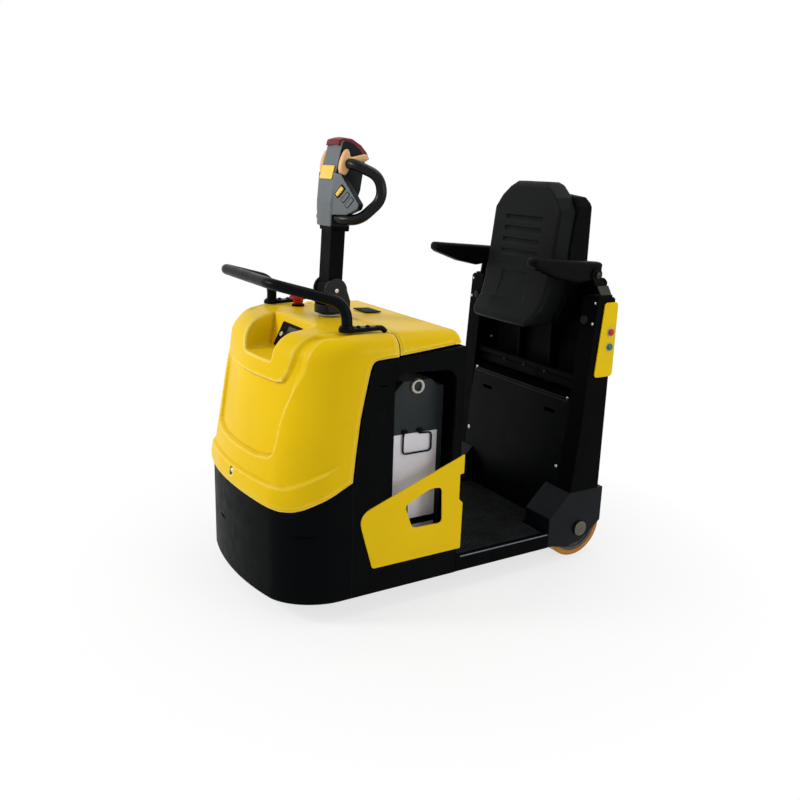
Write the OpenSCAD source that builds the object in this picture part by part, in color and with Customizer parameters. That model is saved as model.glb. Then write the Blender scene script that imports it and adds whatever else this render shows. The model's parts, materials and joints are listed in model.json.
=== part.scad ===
// Stand-on electric tow tractor for baggage trains: three wheels, a tiller, a lean seat and a rear jaw.
// Lengths in this file are measured from the rear axle, forwards along +X, and from the floor, up +Z.
// in_frame() then moves every piece so that the machine stands over the middle of its own length.

/* [Overall] */
// Width over the bodywork, without the plates on its sides
body_w = 792; // [740:4:860]
// Distance from the rear axle to the nose
nose_x = 1290; // [1250:5:1360]
// Distance from the rear axle back to the tip of the tow jaw
tail_x = 210; // [195:5:260]
// Ground clearance under the frame
clearance_z = 72; // [60:2:90]
// Thickness of the yellow plates that lie on the sides
side_plate_t = 4; // [3:1:6]

/* [Wheels] */
// Radius of the wheels over the tyre
wheel_r = 127; // [120:1:130]
// Width of a rear tyre
rear_tyre_w = 75; // [60:1:80]
// Width of the drive tyre
drive_tyre_w = 75; // [60:1:80]
// Thickness of the tyre band
tyre_t = 22; // [16:1:28]
// Radius of the rear axle shafts
axle_r = 20; // [16:1:24]
// Radius of the drive wheel's shaft
drive_axle_r = 22; // [18:1:26]
// Running gap between a shaft and its hub
running_gap = 0.05; // [0.02:0.01:0.1]
// Distance from the side of the body in to a rear tyre
rear_tyre_inset = 23; // [18:1:30]
// Distance from the rear axle to the drive wheel
wheelbase = 1015; // [1010:5:1040]

/* [Operator bay] */
// Height of the platform
platform_z = 130; // [120:2:150]
// Length of the open platform from its rear end to the battery bulkhead
platform_front_x = 590; // [570:5:600]
// Depth of the raised lip round the platform
lip_h = 6; // [4:1:10]
// Thickness of the mat
mat_t = 8; // [5:1:12]
// Height of the top of the wheel boxes
box_top_z = 283; // [278:1:295]
// Width of a wheel box
box_w = 146; // [140:1:160]
// Thickness of the frame's sheet
sheet_t = 6; // [4:1:8]
// Width of a column
column_w = 80; // [70:2:90]
// Height of the columns
column_z = 1040; // [1010:5:1080]

/* [Seat] */
// Width of the seat pad
seat_w = 420; // [380:5:440]
// Height of the top of the seat
seat_top_z = 1450; // [1420:5:1480]
// Width of an armrest
armrest_w = 60; // [48:2:70]
// Distance from the middle of the machine to the middle of an armrest
armrest_y = 318; // [312:1:330]
// Radius of an armrest's pivot pin
arm_pin_r = 8; // [6:0.5:10]

/* [Bodywork] */
// Radius of the nose seen from above
nose_r = 1080; // [900:20:1400]
// Radius of the body's front corners seen from above
corner_r = 140; // [120:5:160]
// Thickness of the covers
cover_t = 6; // [4:1:8]
// Thickness of the black front skirt
skirt_t = 12; // [8:1:16]
// Height of the crown of the covers
crown_z = 974; // [960:2:990]
// Gap between covers and the pieces beside them
cover_gap = 5; // [4:0.5:8]
// Front end of the battery cover
split_x = 857; // [850:1:862]
// Width of the battery
battery_w = 624; // [560:4:650]
// Length of the battery along the machine
battery_l = 200; // [198:2:220]
// Height of the battery
battery_h = 627; // [590:1:640]
// Radius of the hand rail's tube
rail_r = 15; // [12:0.5:18]

/* [Tiller] */
// Distance from the rear axle to the tiller's steering axis
tiller_x = 908; // [900:1:916]
// Height of the tiller's tilt axis
tiller_z = 1063; // [1055:1:1075]
// Rearward lean of the upright tiller
tiller_lean = 3; // [0:1:6]
// Length of the tiller from its pivot to the top of the head
tiller_l = 512; // [480:4:560]
// Width of the tiller's arm
arm_w = 76; // [60:2:80]
// Depth of the tiller's arm
arm_d = 54; // [44:2:60]
// Radius of the tiller's pivot pin
tilt_pin_r = 10; // [8:0.5:12]
// Radius of the hand loops' tube
loop_r = 14; // [11:0.5:16]

/* [Coupling] */
// Radius of the bore for the drawbar pin
tow_pin_r = 13; // [10:0.5:16]
// Height of the middle of the jaw
tow_z = 215; // [205:5:220]
// Opening height of the jaw
jaw_gap = 44; // [36:2:56]
// Thickness of the jaw's lips
jaw_t = 14; // [10:1:18]

/* [Hidden] */
$fn = 64;

frame_x = (tail_x - nose_x) / 2;
half_w = body_w / 2;
SIDES = [-1, 1];
eps = 0.3;
far = 2000;

// Wheels and their places across the machine
rear_tyre_y = half_w - rear_tyre_inset - rear_tyre_w / 2;
hub_r = wheel_r - tyre_t;
box_in_y = half_w - box_w;
axle_cap_r = 29;
proud = 6;
axle_cap_t = side_plate_t + proud;
hub_face = 4;

// Body plan: a bowed nose between two round corners
bow_x = nose_x - nose_r;
corner_y = half_w - corner_r;
corner_x = bow_x + sqrt(pow(nose_r - corner_r, 2) - pow(corner_y, 2));
corner_a = atan2(corner_y, corner_x - bow_x);

// Side view of the rear frame
box_front_x = 156;
box_rear_x = -110;
post_foot_x = 62;
post_head_x = 5;
post_back_x = -83;
bay_rear_x = 54;
kick_top_z = 635;
box_out_t = 6;

// Covers
panel_front_x = 1016;
deck_z = 300;
deck_t = 12;
partition_x = split_x + 12;
turntable_r = wheelbase - partition_x - sheet_t - 6;
turntable_hole_r = turntable_r - 22;
tray_z = 158;
battery_x = 718;
cover_r = 88;
lid_rear_x = platform_front_x + 12;
lid_hinge_x = platform_front_x + sheet_t / 2;
lid_hinge_z = 924;
bulkhead_z = 908;
hinge_y = 250;
hinge_r = 5;
skirt_line = [[panel_front_x - 1, 482], [1067, 454], [1138, 432], [1208, 420], [nose_x + 20, 408]];
cover_line = [[split_x, 893], [944, 887], [961, 846], [991, 701], [panel_front_x, 486]];

// Slope of the crown, from the rear end of the covers to its highest line
crown_x = split_x + 140;
crown_drop = 37;
function crown_at(x) = crown_z - crown_drop * (1 - x / crown_x);
crown_a = atan(crown_drop / crown_x);

// Tiller
hub_w = arm_w + 4;
cheek_t = 9;
cheek_gap = 0.5;
cheek_w = hub_w + 2 * cheek_gap;
hub_out_r = 36;
yoke_clear = 10;
yoke_h = 34;
yoke_r = tiller_x - split_x + 3;
head_foot = 218;
head_w = 108;

// Side view of a plate between two widths, drawn in X and Z
module slab(y0, y1) translate([0, y1, 0]) rotate([90, 0, 0]) linear_extrude(y1 - y0) children();

// Cross view between two lengths, drawn in Y and Z
module rib(x0, x1) translate([x0, 0, 0]) rotate([90, 0, 90]) linear_extrude(x1 - x0) children();

module box_at(x0, x1, y0, y1, z0, z1) translate([x0, y0, z0]) cube([x1 - x0, y1 - y0, z1 - z0]);

// A round bar across the machine
module bar_y(x, z, r, y0, y1) translate([x, y1, z]) rotate([90, 0, 0]) cylinder(h = y1 - y0, r = r);

module in_frame() translate([frame_x, 0, 0]) children();

// Outline with rounded corners, each row of spots holding x, y and radius
module rounded(spots) hull() for (s = spots) translate([s[0], s[1]]) circle(r = s[2]);

// A slot along X with round ends, between two centres a length apart
module slot(x, y, length, r) translate([x, y]) {
    square([length, 2 * r], center = true);
    for (side = SIDES) translate([side * length / 2, 0]) circle(r = r);
}

function unit(v) = v / norm(v);

// Tube along a list of points, as rings square to the path
module tube(points, r, side, sides = 12) {
    n = len(points);
    rings = [
        for (i = [0 : n - 1])
            let (
                t = unit(points[min(i + 1, n - 1)] - points[max(i - 1, 0)]),
                u = unit(cross(side, t)),
                w = cross(t, u)
            )
            for (k = [0 : sides - 1]) points[i] + r * (cos(360 * k / sides) * u + sin(360 * k / sides) * w)
    ];
    walls = [
        for (i = [0 : n - 2], k = [0 : sides - 1])
            let (j = (k + 1) % sides)
            [i * sides + k, (i + 1) * sides + k, (i + 1) * sides + j, i * sides + j]
    ];
    foot = [for (k = [0 : sides - 1]) k];
    head = [for (k = [sides - 1 : -1 : 0]) (n - 1) * sides + k];
    polyhedron(rings, concat(walls, [foot, head]), convexity = 6);
}

// Points of a route whose corners are rounded: each row of stops holds a point and its bend's length
function bend(a, b, c, s, steps = 5) = [
    for (i = [0 : steps])
        let (p = b + s * unit(a - b), q = b + s * unit(c - b), t = i / steps)
        (1 - t) * (1 - t) * p + 2 * t * (1 - t) * b + t * t * q
];
function route(stops) = concat(
    [stops[0][0]],
    [
        for (i = [1 : len(stops) - 2])
            each bend(stops[i - 1][0], stops[i][0], stops[i + 1][0], stops[i][1])
    ],
    [stops[len(stops) - 1][0]]
);

// Plan of the bodywork from rear_x forwards, drawn in by inset all round
module body_plan(rear_x, inset = 0) {
    translate([rear_x, inset - half_w]) square([corner_x - rear_x, body_w - 2 * inset]);
    for (side = SIDES) translate([corner_x, side * corner_y]) circle(r = corner_r - inset, $fn = 96);
    intersection() {
        translate([bow_x, 0]) circle(r = nose_r - inset, $fn = 360);
        polygon([
            [corner_x - 1, -corner_y], [bow_x + far * cos(corner_a), -far * sin(corner_a)],
            [bow_x + far * cos(corner_a), far * sin(corner_a)], [corner_x - 1, corner_y]
        ]);
    }
}

// Front view of the covers, with rounded shoulders, drawn in by inset
module cover_section(inset = 0) {
    translate([-half_w + inset, 0]) square([body_w - 2 * inset, crown_z - cover_r]);
    translate([-half_w + cover_r, 0]) square([body_w - 2 * cover_r, crown_z - inset]);
    for (side = SIDES)
        translate([side * (half_w - cover_r), crown_z - cover_r]) circle(r = cover_r - inset);
}

// Side view of the crown and the nose, drawn in by inset, open below and behind
module crown_side(inset = 0) {
    nose_top_r = 90;
    top_x = nose_x - 168;
    top_z = crown_z - 16 - nose_top_r;
    polygon([
        [0, 0], [0, crown_z - crown_drop - inset], [crown_x, crown_z - inset],
        [top_x + 20, crown_z - 16 - inset], [top_x + 80 - inset, top_z + 25],
        [nose_x + 8 - inset, 405], [nose_x + 8 - inset, 0]
    ]);
    translate([top_x, top_z]) circle(r = nose_top_r - inset);
}

module cover_body(rear_x, inset = 0) intersection() {
    linear_extrude(crown_z + 10) body_plan(rear_x, inset);
    rib(rear_x, nose_x + 20) cover_section(inset);
    slab(-half_w, half_w) crown_side(inset);
}

// Floor and frame

module floor_pan() in_frame() color("#1b1c1e") {
    difference() {
        box_at(bay_rear_x, platform_front_x, -half_w, half_w, clearance_z, platform_z);
        box_at(
            bay_rear_x + sheet_t, platform_front_x - sheet_t, -half_w + sheet_t, half_w - sheet_t,
            clearance_z - 1, platform_z - sheet_t - lip_h
        );
        box_at(
            bay_rear_x - 1, platform_front_x + 1, -half_w + lip_h * 2, half_w - lip_h * 2,
            platform_z - lip_h, platform_z + 1
        );
        for (side = SIDES)
            box_at(
                bay_rear_x - 1, box_front_x + eps, side > 0 ? box_in_y - eps : -half_w - 1,
                side > 0 ? half_w + 1 : -box_in_y + eps, clearance_z - 1, platform_z + 1
            );
    }
}

module platform_mat() in_frame() color("#2b2c2e")
    difference() {
        box_at(
            bay_rear_x + 20, platform_front_x - 12, 30 - half_w, half_w - 30,
            platform_z - lip_h, platform_z - lip_h + mat_t
        );
        for (side = SIDES)
            box_at(
                0, box_front_x + 12, side > 0 ? box_in_y - 12 : -half_w, side > 0 ? half_w : 12 - box_in_y,
                0, platform_z + mat_t
            );
    }

// Bulkhead in front of the operator, which carries the battery cover's two hinges
module bulkhead() in_frame() color("#17181a") {
    box_at(platform_front_x, platform_front_x + sheet_t, -half_w, half_w, clearance_z, bulkhead_z);
    for (side = SIDES) scale([1, side, 1]) {
        box_at(
            platform_front_x, platform_front_x + sheet_t, hinge_y - 40, hinge_y, bulkhead_z - 1,
            lid_hinge_z
        );
        bar_y(lid_hinge_x, lid_hinge_z, hinge_r + 3, hinge_y - 40, hinge_y);
        bar_y(lid_hinge_x, lid_hinge_z, hinge_r, hinge_y - 1, hinge_y + 30);
    }
}

module drive_frame() in_frame() color("#17181a") {
    tray_x = platform_front_x + sheet_t;
    in_y = half_w - skirt_t;
    box_at(tray_x, partition_x, -in_y, in_y, tray_z - sheet_t, tray_z);
    box_at(partition_x, partition_x + sheet_t, -in_y, in_y, tray_z - sheet_t, crown_z - 60);
    difference() {
        translate([0, 0, deck_z]) linear_extrude(deck_t) body_plan(partition_x, skirt_t);
        translate([wheelbase, 0, deck_z - 1]) cylinder(h = deck_t + 2, r = turntable_hole_r);
    }
}

module rear_beam() in_frame() color("#17181a") {
    difference() {
        box_at(-104, bay_rear_x, -box_in_y + eps, box_in_y - eps, 96, box_top_z - 20);
        box_at(-104 + sheet_t, bay_rear_x - sheet_t, -box_in_y + 20, box_in_y - 20, 90, box_top_z - 30);
    }
    for (side = SIDES) {
        stub = half_w + axle_cap_t - box_in_y + 10;
        translate([0, side * (box_in_y - 10), wheel_r]) rotate([-90 * side, 0, 0]) {
            cylinder(h = stub - axle_cap_t, r = axle_r);
            translate([0, 0, stub - axle_cap_t]) cylinder(h = axle_cap_t, r = axle_cap_r);
        }
    }
}

// Jaw for a baggage cart's drawbar eye: two lips with flared mouths on a bolted plate
module tow_jaw() in_frame() color("#2a2b2d") {
    plate_x = -104;
    root_x = plate_x - 14;
    lip_r = 46;
    pin_x = -tail_x + lip_r + 6;
    box_at(root_x, plate_x, -70, 70, tow_z - 62, tow_z + 62);
    for (up = SIDES)
        difference() {
            union() {
                z0 = tow_z + up * jaw_gap / 2 + (up > 0 ? 0 : -jaw_t);
                translate([0, 0, z0]) linear_extrude(jaw_t) {
                    translate([pin_x, -lip_r]) square([root_x - pin_x, 2 * lip_r]);
                    translate([pin_x, 0]) circle(r = lip_r);
                }
                slab(-lip_r, lip_r) polygon([
                    [-tail_x + 26, tow_z + up * jaw_gap / 2], [-tail_x + 8, tow_z + up * (jaw_gap / 2 + 18)],
                    [-tail_x, tow_z + up * (jaw_gap / 2 + 18)], [-tail_x, tow_z + up * (jaw_gap / 2 + 30)],
                    [-tail_x + 10, tow_z + up * (jaw_gap / 2 + 30)],
                    [-tail_x + 34, tow_z + up * (jaw_gap / 2 + jaw_t)]
                ]);
                slab(-4, 4) polygon([
                    [root_x, tow_z + up * 60], [root_x, tow_z + up * (jaw_gap / 2 + jaw_t)],
                    [pin_x + 24, tow_z + up * (jaw_gap / 2 + jaw_t)]
                ]);
            }
            translate([pin_x, 0, 0]) cylinder(h = far, r = tow_pin_r);
        }
}

module front_skirt() in_frame() color("#1b1c1e")
    intersection() {
        difference() {
            translate([0, 0, clearance_z]) linear_extrude(crown_z / 2) body_plan(panel_front_x, 0);
            translate([0, 0, clearance_z - 1]) linear_extrude(crown_z) body_plan(panel_front_x - 1, skirt_t);
        }
        slab(-half_w, half_w) polygon(concat(
            [[nose_x + 20, clearance_z], [panel_front_x, clearance_z]],
            [for (p = skirt_line) [p[0], p[1] - cover_gap]]
        ));
    }

// Side panels with the battery's window
module side_panels() in_frame() color("#17181a")
    for (side = SIDES)
        slab(side > 0 ? half_w - skirt_t : -half_w, side > 0 ? half_w : skirt_t - half_w) difference() {
            polygon(concat(
                [
                    [panel_front_x, clearance_z], [platform_front_x + sheet_t, clearance_z],
                    [platform_front_x + sheet_t, bulkhead_z], [split_x, 888]
                ],
                [for (p = [for (i = [1 : 4]) cover_line[i]]) [p[0] - cover_gap, p[1] - cover_gap]]
            ));
            polygon([
                [869, 170], [869, 812], [853, 825], [823, 839], [646, 832], [623, 802], [623, 170]
            ]);
        }

module wheel_boxes() in_frame() color("#1b1c1e")
    for (side = SIDES) scale([1, side, 1]) {
        inner = box_out_t;
        difference() {
            slab(box_in_y, half_w) polygon([
                [post_foot_x, box_top_z], [box_rear_x, box_top_z], [box_rear_x, 141], [-59, 102], [-10, 69],
                [post_foot_x, 54], [131, 73], [box_front_x, 73], [box_front_x, 191]
            ]);
            slab(box_in_y + inner, half_w - inner) polygon([
                [post_foot_x - 4, box_top_z - inner], [box_rear_x + inner, box_top_z - inner],
                [box_rear_x + inner, 220], [-300, 220], [-300, 0], [box_front_x - inner, 0],
                [box_front_x - inner, 188]
            ]);
            bar_y(0, wheel_r, axle_r + eps, 0, half_w + 1);
        }
    }

// Columns and panels behind the operator

function post_x(z) = post_foot_x + (post_head_x - post_foot_x) * (z - box_top_z) / (column_z - box_top_z);

module columns() in_frame() color("#202123")
    for (side = SIDES)
        slab(side > 0 ? half_w - column_w : -half_w, side > 0 ? half_w : column_w - half_w) polygon([
            [post_back_x, box_top_z], [post_foot_x, box_top_z], [38, 498], [25, 733], [12, 923],
            [post_head_x, column_z - 8], [post_head_x - 8, column_z], [post_back_x + 8, column_z],
            [post_back_x, column_z - 8]
        ]);

module kick_panel() in_frame() color("#17181a") {
    in_y = half_w - column_w;
    difference() {
        slab(-in_y, in_y) polygon([
            [bay_rear_x, platform_z - lip_h], [bay_rear_x + sheet_t, platform_z - lip_h],
            [bay_rear_x + sheet_t, box_top_z], [20 + sheet_t, kick_top_z], [-34, kick_top_z + 12],
            [-34, kick_top_z + 6], [20, kick_top_z - 6], [bay_rear_x, box_top_z]
        ]);
        for (side = SIDES)
            box_at(
                0, far, side > 0 ? box_in_y - eps : -half_w, side > 0 ? half_w : eps - box_in_y, 0, box_top_z
            );
        for (side = SIDES) rib(0, far) slot(side * 205, 566, 50, 7);
    }
}

module rear_panel() in_frame() color("#17181a") {
    in_y = half_w - column_w;
    foot_y = box_in_y - eps;
    box_at(post_back_x, post_back_x + sheet_t, -in_y, in_y, box_top_z, column_z - 20);
    box_at(post_back_x, post_back_x + sheet_t, -foot_y, foot_y, box_top_z - 20, box_top_z + 1);
}

module cross_bar() in_frame() color("#1b1c1e")
    slab(column_w - half_w, half_w - column_w) {
        translate([-10, 714]) circle(r = 14);
        translate([-24, 714 - 50]) square([10, 50]);
    }

module seat_post() in_frame() color("#1b1c1e") {
    w = 105;
    difference() {
        box_at(post_back_x + sheet_t, post_back_x + 46, -w, w, 480, seat_top_z - 252);
        box_at(post_back_x + sheet_t + 6, post_back_x + 60, 12 - w, w - 12, 470, seat_top_z);
    }
}

// Lean seat

seat_back = [[-52, 1436], [-14, 1190], [-8, 1010], [40, 905], [150, 896]];
seat_face = [[151, 936], [112, 992], [92, 1060], [79, 1135], [56, 1313], [42, 1425], [22, seat_top_z]];

module seat_front_view(w, top) polygon([
    [-w + 30, 880], [w - 30, 880], [w - 4, 960], [w, 1100], [w - 4, top - 110], [w - 40, top - 60],
    [95, top], [-95, top], [-w + 40, top - 60], [-w + 4, top - 110], [-w, 1100], [-w + 4, 960]
]);

module seat_pad() in_frame() color("#3a3c40")
    intersection() {
        slab(-seat_w / 2, seat_w / 2) polygon(concat(seat_back, seat_face, [[-30, seat_top_z]]));
        rib(-80, 200) seat_front_view(seat_w / 2, seat_top_z);
    }

module seat_shell() in_frame() color("#17181a")
    intersection() {
        slab(-seat_w / 2 - 6, seat_w / 2 + 6) polygon([
            [-8 - eps, 1010], [-14 - eps, 1190], [-48 - eps, seat_top_z - 40], [-62, seat_top_z - 40],
            [post_back_x + 46 + eps, seat_top_z - 250], [post_back_x + 46 + eps, 960], [-8 - eps, 930]
        ]);
        rib(-90, 200) seat_front_view(seat_w / 2 + 6, seat_top_z - 30);
    }

// Armrests

arm_pivot = [-19, 1119];
bracket_t = 8;
bracket_y = armrest_y + armrest_w / 2 + 1;

module arm_brackets() in_frame() color("#2a2b2d")
    for (side = SIDES) scale([1, side, 1]) {
        slab(bracket_y, bracket_y + bracket_t) rounded([
            [arm_pivot[0], arm_pivot[1], 24], [-46, column_z + 12, 12], [-10, column_z + 12, 12]
        ]);
        box_at(-60, 4, bracket_y, bracket_y + 40, column_z, column_z + 6);
        bar_y(arm_pivot[0], arm_pivot[1], arm_pin_r, armrest_y, bracket_y + bracket_t + 6);
    }

module armrest(side) in_frame() color("#3a3c40")
    scale([1, side, 1]) difference() {
        slab(armrest_y - armrest_w / 2, armrest_y + armrest_w / 2) polygon([
            [272, 1180], [262, 1188], [-50, 1164], [-57, 1156], [-53, 1114], [-19, 1095], [54, 1086],
            [153, 1107], [262, 1148], [272, 1156]
        ]);
        bar_y(arm_pivot[0], arm_pivot[1], arm_pin_r + running_gap, armrest_y - 1, armrest_y + armrest_w);
    }

module armrest_left() armrest(1);
module armrest_right() armrest(-1);

// Covers

scoop = [-135, 55];
pod = [75, 215];
pod_top_z = crown_z - 10;

module front_cover() in_frame() color("#f2cb05") {
    difference() {
        intersection() {
            union() {
                difference() {
                    cover_body(split_x, 0);
                    cover_body(split_x - 1, cover_t);
                }
                intersection() {
                    cover_body(split_x, 0);
                    box_at(1088, nose_x, scoop[0] - cover_t, pod[1] + cover_t, 838, crown_z);
                }
                translate([tiller_x, 0, crown_z - 30]) cylinder(h = 28, r = 46);
            }
            slab(-half_w, half_w) polygon(concat(
                [[split_x, crown_z + 20]], cover_line, skirt_line, [[nose_x + 20, crown_z + 20]]
            ));
        }
        box_at(1100, nose_x + 20, scoop[0], scoop[1], 850, crown_z + 1);
        slab(pod[0], pod[1]) polygon([
            [1100, crown_z + 20], [1112, 950], [1150, 880], [nose_x, 880], [nose_x, crown_z + 20]
        ]);
        translate([tiller_x, 0, crown_z - 60]) cylinder(h = 90, r = 30);
    }
}

module instrument_panel() in_frame() color("#26282b")
    slab(pod[0] + 8, pod[1] - 8) polygon([[1113 + eps, 950], [1151, 880 + eps], [1163, 880 + eps], [1123, 955]]);

module emergency_stop() in_frame() color("#c81e1e") {
    translate([926, -230, crown_at(944) + eps]) {
        cylinder(h = 4, r = 18);
        cylinder(h = 16, r = 12);
        translate([0, 0, 16]) cylinder(h = 14, r1 = 20, r2 = 17);
    }
}

module battery_cover() in_frame() color("#f2cb05") {
    intersection() {
        difference() {
            cover_body(lid_rear_x, 0);
            cover_body(lid_rear_x + cover_t, cover_t);
        }
        slab(-half_w, half_w) polygon([
            [lid_rear_x, crown_z + 10], [lid_rear_x, 919], [split_x - cover_gap, 897],
            [split_x - cover_gap, crown_z + 10]
        ]);
    }
    for (side = SIDES) scale([1, side, 1]) slab(hinge_y + 2, hinge_y + 26) difference() {
        union() {
            translate([lid_hinge_x, lid_hinge_z]) circle(r = hinge_r + 3);
            translate([lid_hinge_x, lid_hinge_z]) square([lid_rear_x + cover_t - lid_hinge_x, 8]);
        }
        translate([lid_hinge_x, lid_hinge_z]) circle(r = hinge_r + running_gap);
    }
}

module cover_pad() in_frame() color("#1b1c1e")
    translate([720, -67, crown_at(720) + eps]) rotate([0, -crown_a, 0])
        translate([-33, -48, 0]) cube([66, 96, 5]);

module battery() in_frame() color("#8b9096")
    box_at(
        battery_x - battery_l / 2, battery_x + battery_l / 2, -battery_w / 2, battery_w / 2, tray_z,
        tray_z + battery_h
    );

module battery_fittings() in_frame() color("#b9bcc0") {
    top = tray_z + battery_h;
    for (side = SIDES) scale([1, side, 1]) {
        difference() {
            bar_y(battery_x + 40, top - 5, 26, battery_w / 2, battery_w / 2 + 10);
            bar_y(battery_x + 40, top - 5, 11, battery_w / 2 - 1, battery_w / 2 + 11);
        }
    }
}

module guards() in_frame() color("#f2cb05")
    for (side = SIDES) scale([1, side, 1])
        slab(half_w, half_w + side_plate_t) difference() {
            polygon([
                [940, 166], [986, 333], [984, 360], [969, 378], [954, 384], [576, 522], [576, 451],
                [592, 450], [592, 355], [576, 342], [578, 166]
            ]);
            polygon([
                [710, 415], [676, 413], [667, 402], [663, 297], [678, 282], [786, 285], [812, 353], [802, 374]
            ]);
        }

module button_plate() in_frame() color("#f2cb05")
    slab(half_w, half_w + side_plate_t)
        rounded([[-82, 1007, 14], [-43, 1007, 14], [-20, 751, 14], [-82, 751, 14]]);

module push_button(z) translate([-68, half_w + side_plate_t, z]) rotate([-90, 0, 0]) {
    cylinder(h = proud / 2, r = 14);
    translate([0, 0, proud / 2]) cylinder(h = proud / 2, r = 9);
}

module stop_button() in_frame() color("#c81e1e") push_button(908);
module start_button() in_frame() color("#1e7d46") push_button(852);

module hand_rail() in_frame() color("#141517") {
    stops = [
        [[1000, 307, crown_z + 8], 0], [[1000, 300, 1062], 50], [[1219, 232, 1122], 60],
        [[1219, -232, 1122], 60], [[1000, -300, 1062], 50], [[1000, -307, crown_z + 8], 0]
    ];
    tube(route(stops), rail_r, [1, 0, -1]);
    for (side = SIDES)
        translate([0, 0, crown_z]) linear_extrude(10)
            rounded([[1004, side * 309, 22], [890, side * 318, 12]]);
}

// Steering and tiller

module bearing_flange() in_frame() color("#c9ccc4")
    translate([tiller_x, 0, crown_z - 2]) difference() {
        cylinder(h = 6, r = 40);
        translate([0, 0, -1]) cylinder(h = 8, r = 20 + running_gap);
    }

// The yoke's base stays inside yoke_r, so that the battery cover can open at any steering angle
module steering_yoke() in_frame() color("#17181a") translate([tiller_x, 0, 0]) {
    base_z = crown_z + yoke_clear;
    out_y = cheek_w / 2 + cheek_t;
    foot_x = sqrt(pow(yoke_r, 2) - pow(out_y, 2));
    translate([0, 0, crown_z - 70]) cylinder(h = base_z - crown_z + 71, r = 20);
    translate([0, 0, base_z]) linear_extrude(yoke_h) intersection() {
        circle(r = yoke_r);
        square([2 * yoke_r, 2 * out_y], center = true);
    }
    for (side = SIDES) scale([1, side, 1])
        slab(cheek_w / 2, out_y) difference() {
            union() {
                translate([0, tiller_z]) circle(r = hub_out_r + 2);
                polygon([
                    [hub_out_r + 1, tiller_z], [foot_x, base_z + 4], [-foot_x, base_z + 4],
                    [-hub_out_r - 1, tiller_z]
                ]);
            }
            translate([0, tiller_z]) circle(r = tilt_pin_r + running_gap);
        }
}

module on_tiller() translate([tiller_x, 0, tiller_z]) rotate([0, -tiller_lean, 0]) children();

module tiller_arm() in_frame() color("#17181a") {
    bar_y(tiller_x, tiller_z, hub_out_r, -hub_w / 2, hub_w / 2);
    bar_y(tiller_x, tiller_z, tilt_pin_r, -hub_w / 2 - cheek_t - 2, hub_w / 2 + cheek_t + 2);
    on_tiller() translate([-arm_d / 2, -arm_w / 2, 0]) cube([arm_d, arm_w, head_foot + 12]);
}

module tiller_head() in_frame() color("#8f9498") on_tiller() {
    slab(-head_w / 2, head_w / 2) difference() {
        polygon([
            [arm_d / 2 + 6, head_foot], [arm_d / 2 + 10, tiller_l - 30], [arm_d / 2 - 10, tiller_l - 20],
            [-60, tiller_l - 46], [-82, tiller_l - 90], [-70, 340], [-36, head_foot + 22], [-36, head_foot]
        ]);
        translate([-arm_d / 2 - eps, 0]) square([arm_d + 2 * eps, head_foot + 12 + eps]);
    }
    for (side = SIDES) scale([1, side, 1])
        translate([10, head_w / 2, 0]) rotate([0, 0, 24])
            rib(-14, 14) translate([0, 0]) polygon([
                [-8, 262], [50, 266], [88, 286], [92, 300], [-8, 398]
            ]);
}

module tiller_loops() in_frame() color("#141517") on_tiller()
    for (side = SIDES) scale([1, side, 1])
        tube(
            route([
                [[-8, head_w / 2 + 30 + eps, 428], 0], [[-8, 118, 428], 20], [[-66, 168, 384], 30],
                [[-78, 172, 318], 30], [[-24, 136, 242], 32], [[-16, 100, 242], 15],
                [[-16, head_w / 2 + eps, 242], 0]
            ]),
            loop_r, [1, 0.2, 0]
        );

module thumb_wheels() in_frame() color("#f08a1c") on_tiller()
    for (side = SIDES) scale([1, side, 1])
        bar_y(-6, 430, 26, head_w / 2 + eps, head_w / 2 + 30);

module belly_button() in_frame() color("#b3202c") on_tiller()
    slab(-46, 46) polygon([
        [arm_d / 2 - 10, tiller_l - 20 + eps], [arm_d / 2 - 8, tiller_l - 8], [-10, tiller_l],
        [-60, tiller_l - 24], [-96, tiller_l - 76], [-88, tiller_l - 92], [-82 - eps, tiller_l - 90],
        [-60 - eps, tiller_l - 46 + eps]
    ]);

// Drive unit and wheels

fork_gap = 12;
module drive_unit() in_frame() color("#2a2b2d") translate([wheelbase, 0, 0]) {
    fork_in = drive_tyre_w / 2 + fork_gap;
    ring_z = deck_z + deck_t + eps;
    translate([0, 0, ring_z]) cylinder(h = 18, r = turntable_r);
    translate([0, 0, ring_z + 18]) cylinder(h = 250, r = 100);
    translate([0, 0, wheel_r * 2 + 14]) cylinder(h = ring_z - wheel_r * 2 - 14, r = turntable_hole_r - 4);
    for (side = SIDES)
        box_at(
            -60, 60, side > 0 ? fork_in : -fork_in - 16, side > 0 ? fork_in + 16 : -fork_in, 90,
            wheel_r * 2 + 20
        );
    bar_y(0, wheel_r, drive_axle_r, -fork_in - 16, fork_in + 16);
}

module wheel_hub(x, y, w, shaft_r) translate([x, y - w / 2 - hub_face, wheel_r]) rotate([-90, 0, 0])
    difference() {
        union() {
            translate([0, 0, hub_face]) cylinder(h = w, r = hub_r);
            cylinder(h = w + 2 * hub_face, r = shaft_r * 2);
        }
        translate([0, 0, -1]) cylinder(h = w + 2 * hub_face + 2, r = shaft_r + running_gap);
        for (z = [-1, w + 2 * hub_face - 10])
            translate([0, 0, z]) difference() {
                cylinder(h = 11, r = hub_r - 14);
                cylinder(h = 11, r = shaft_r * 2);
            }
    }

module tyre(x, y, w) translate([x, y - w / 2, wheel_r]) rotate([-90, 0, 0]) rotate_extrude($fn = 96)
    polygon([
        [hub_r, 0], [wheel_r - 5, 0], [wheel_r, 5], [wheel_r, w - 5], [wheel_r - 5, w], [hub_r, w]
    ]);

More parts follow.
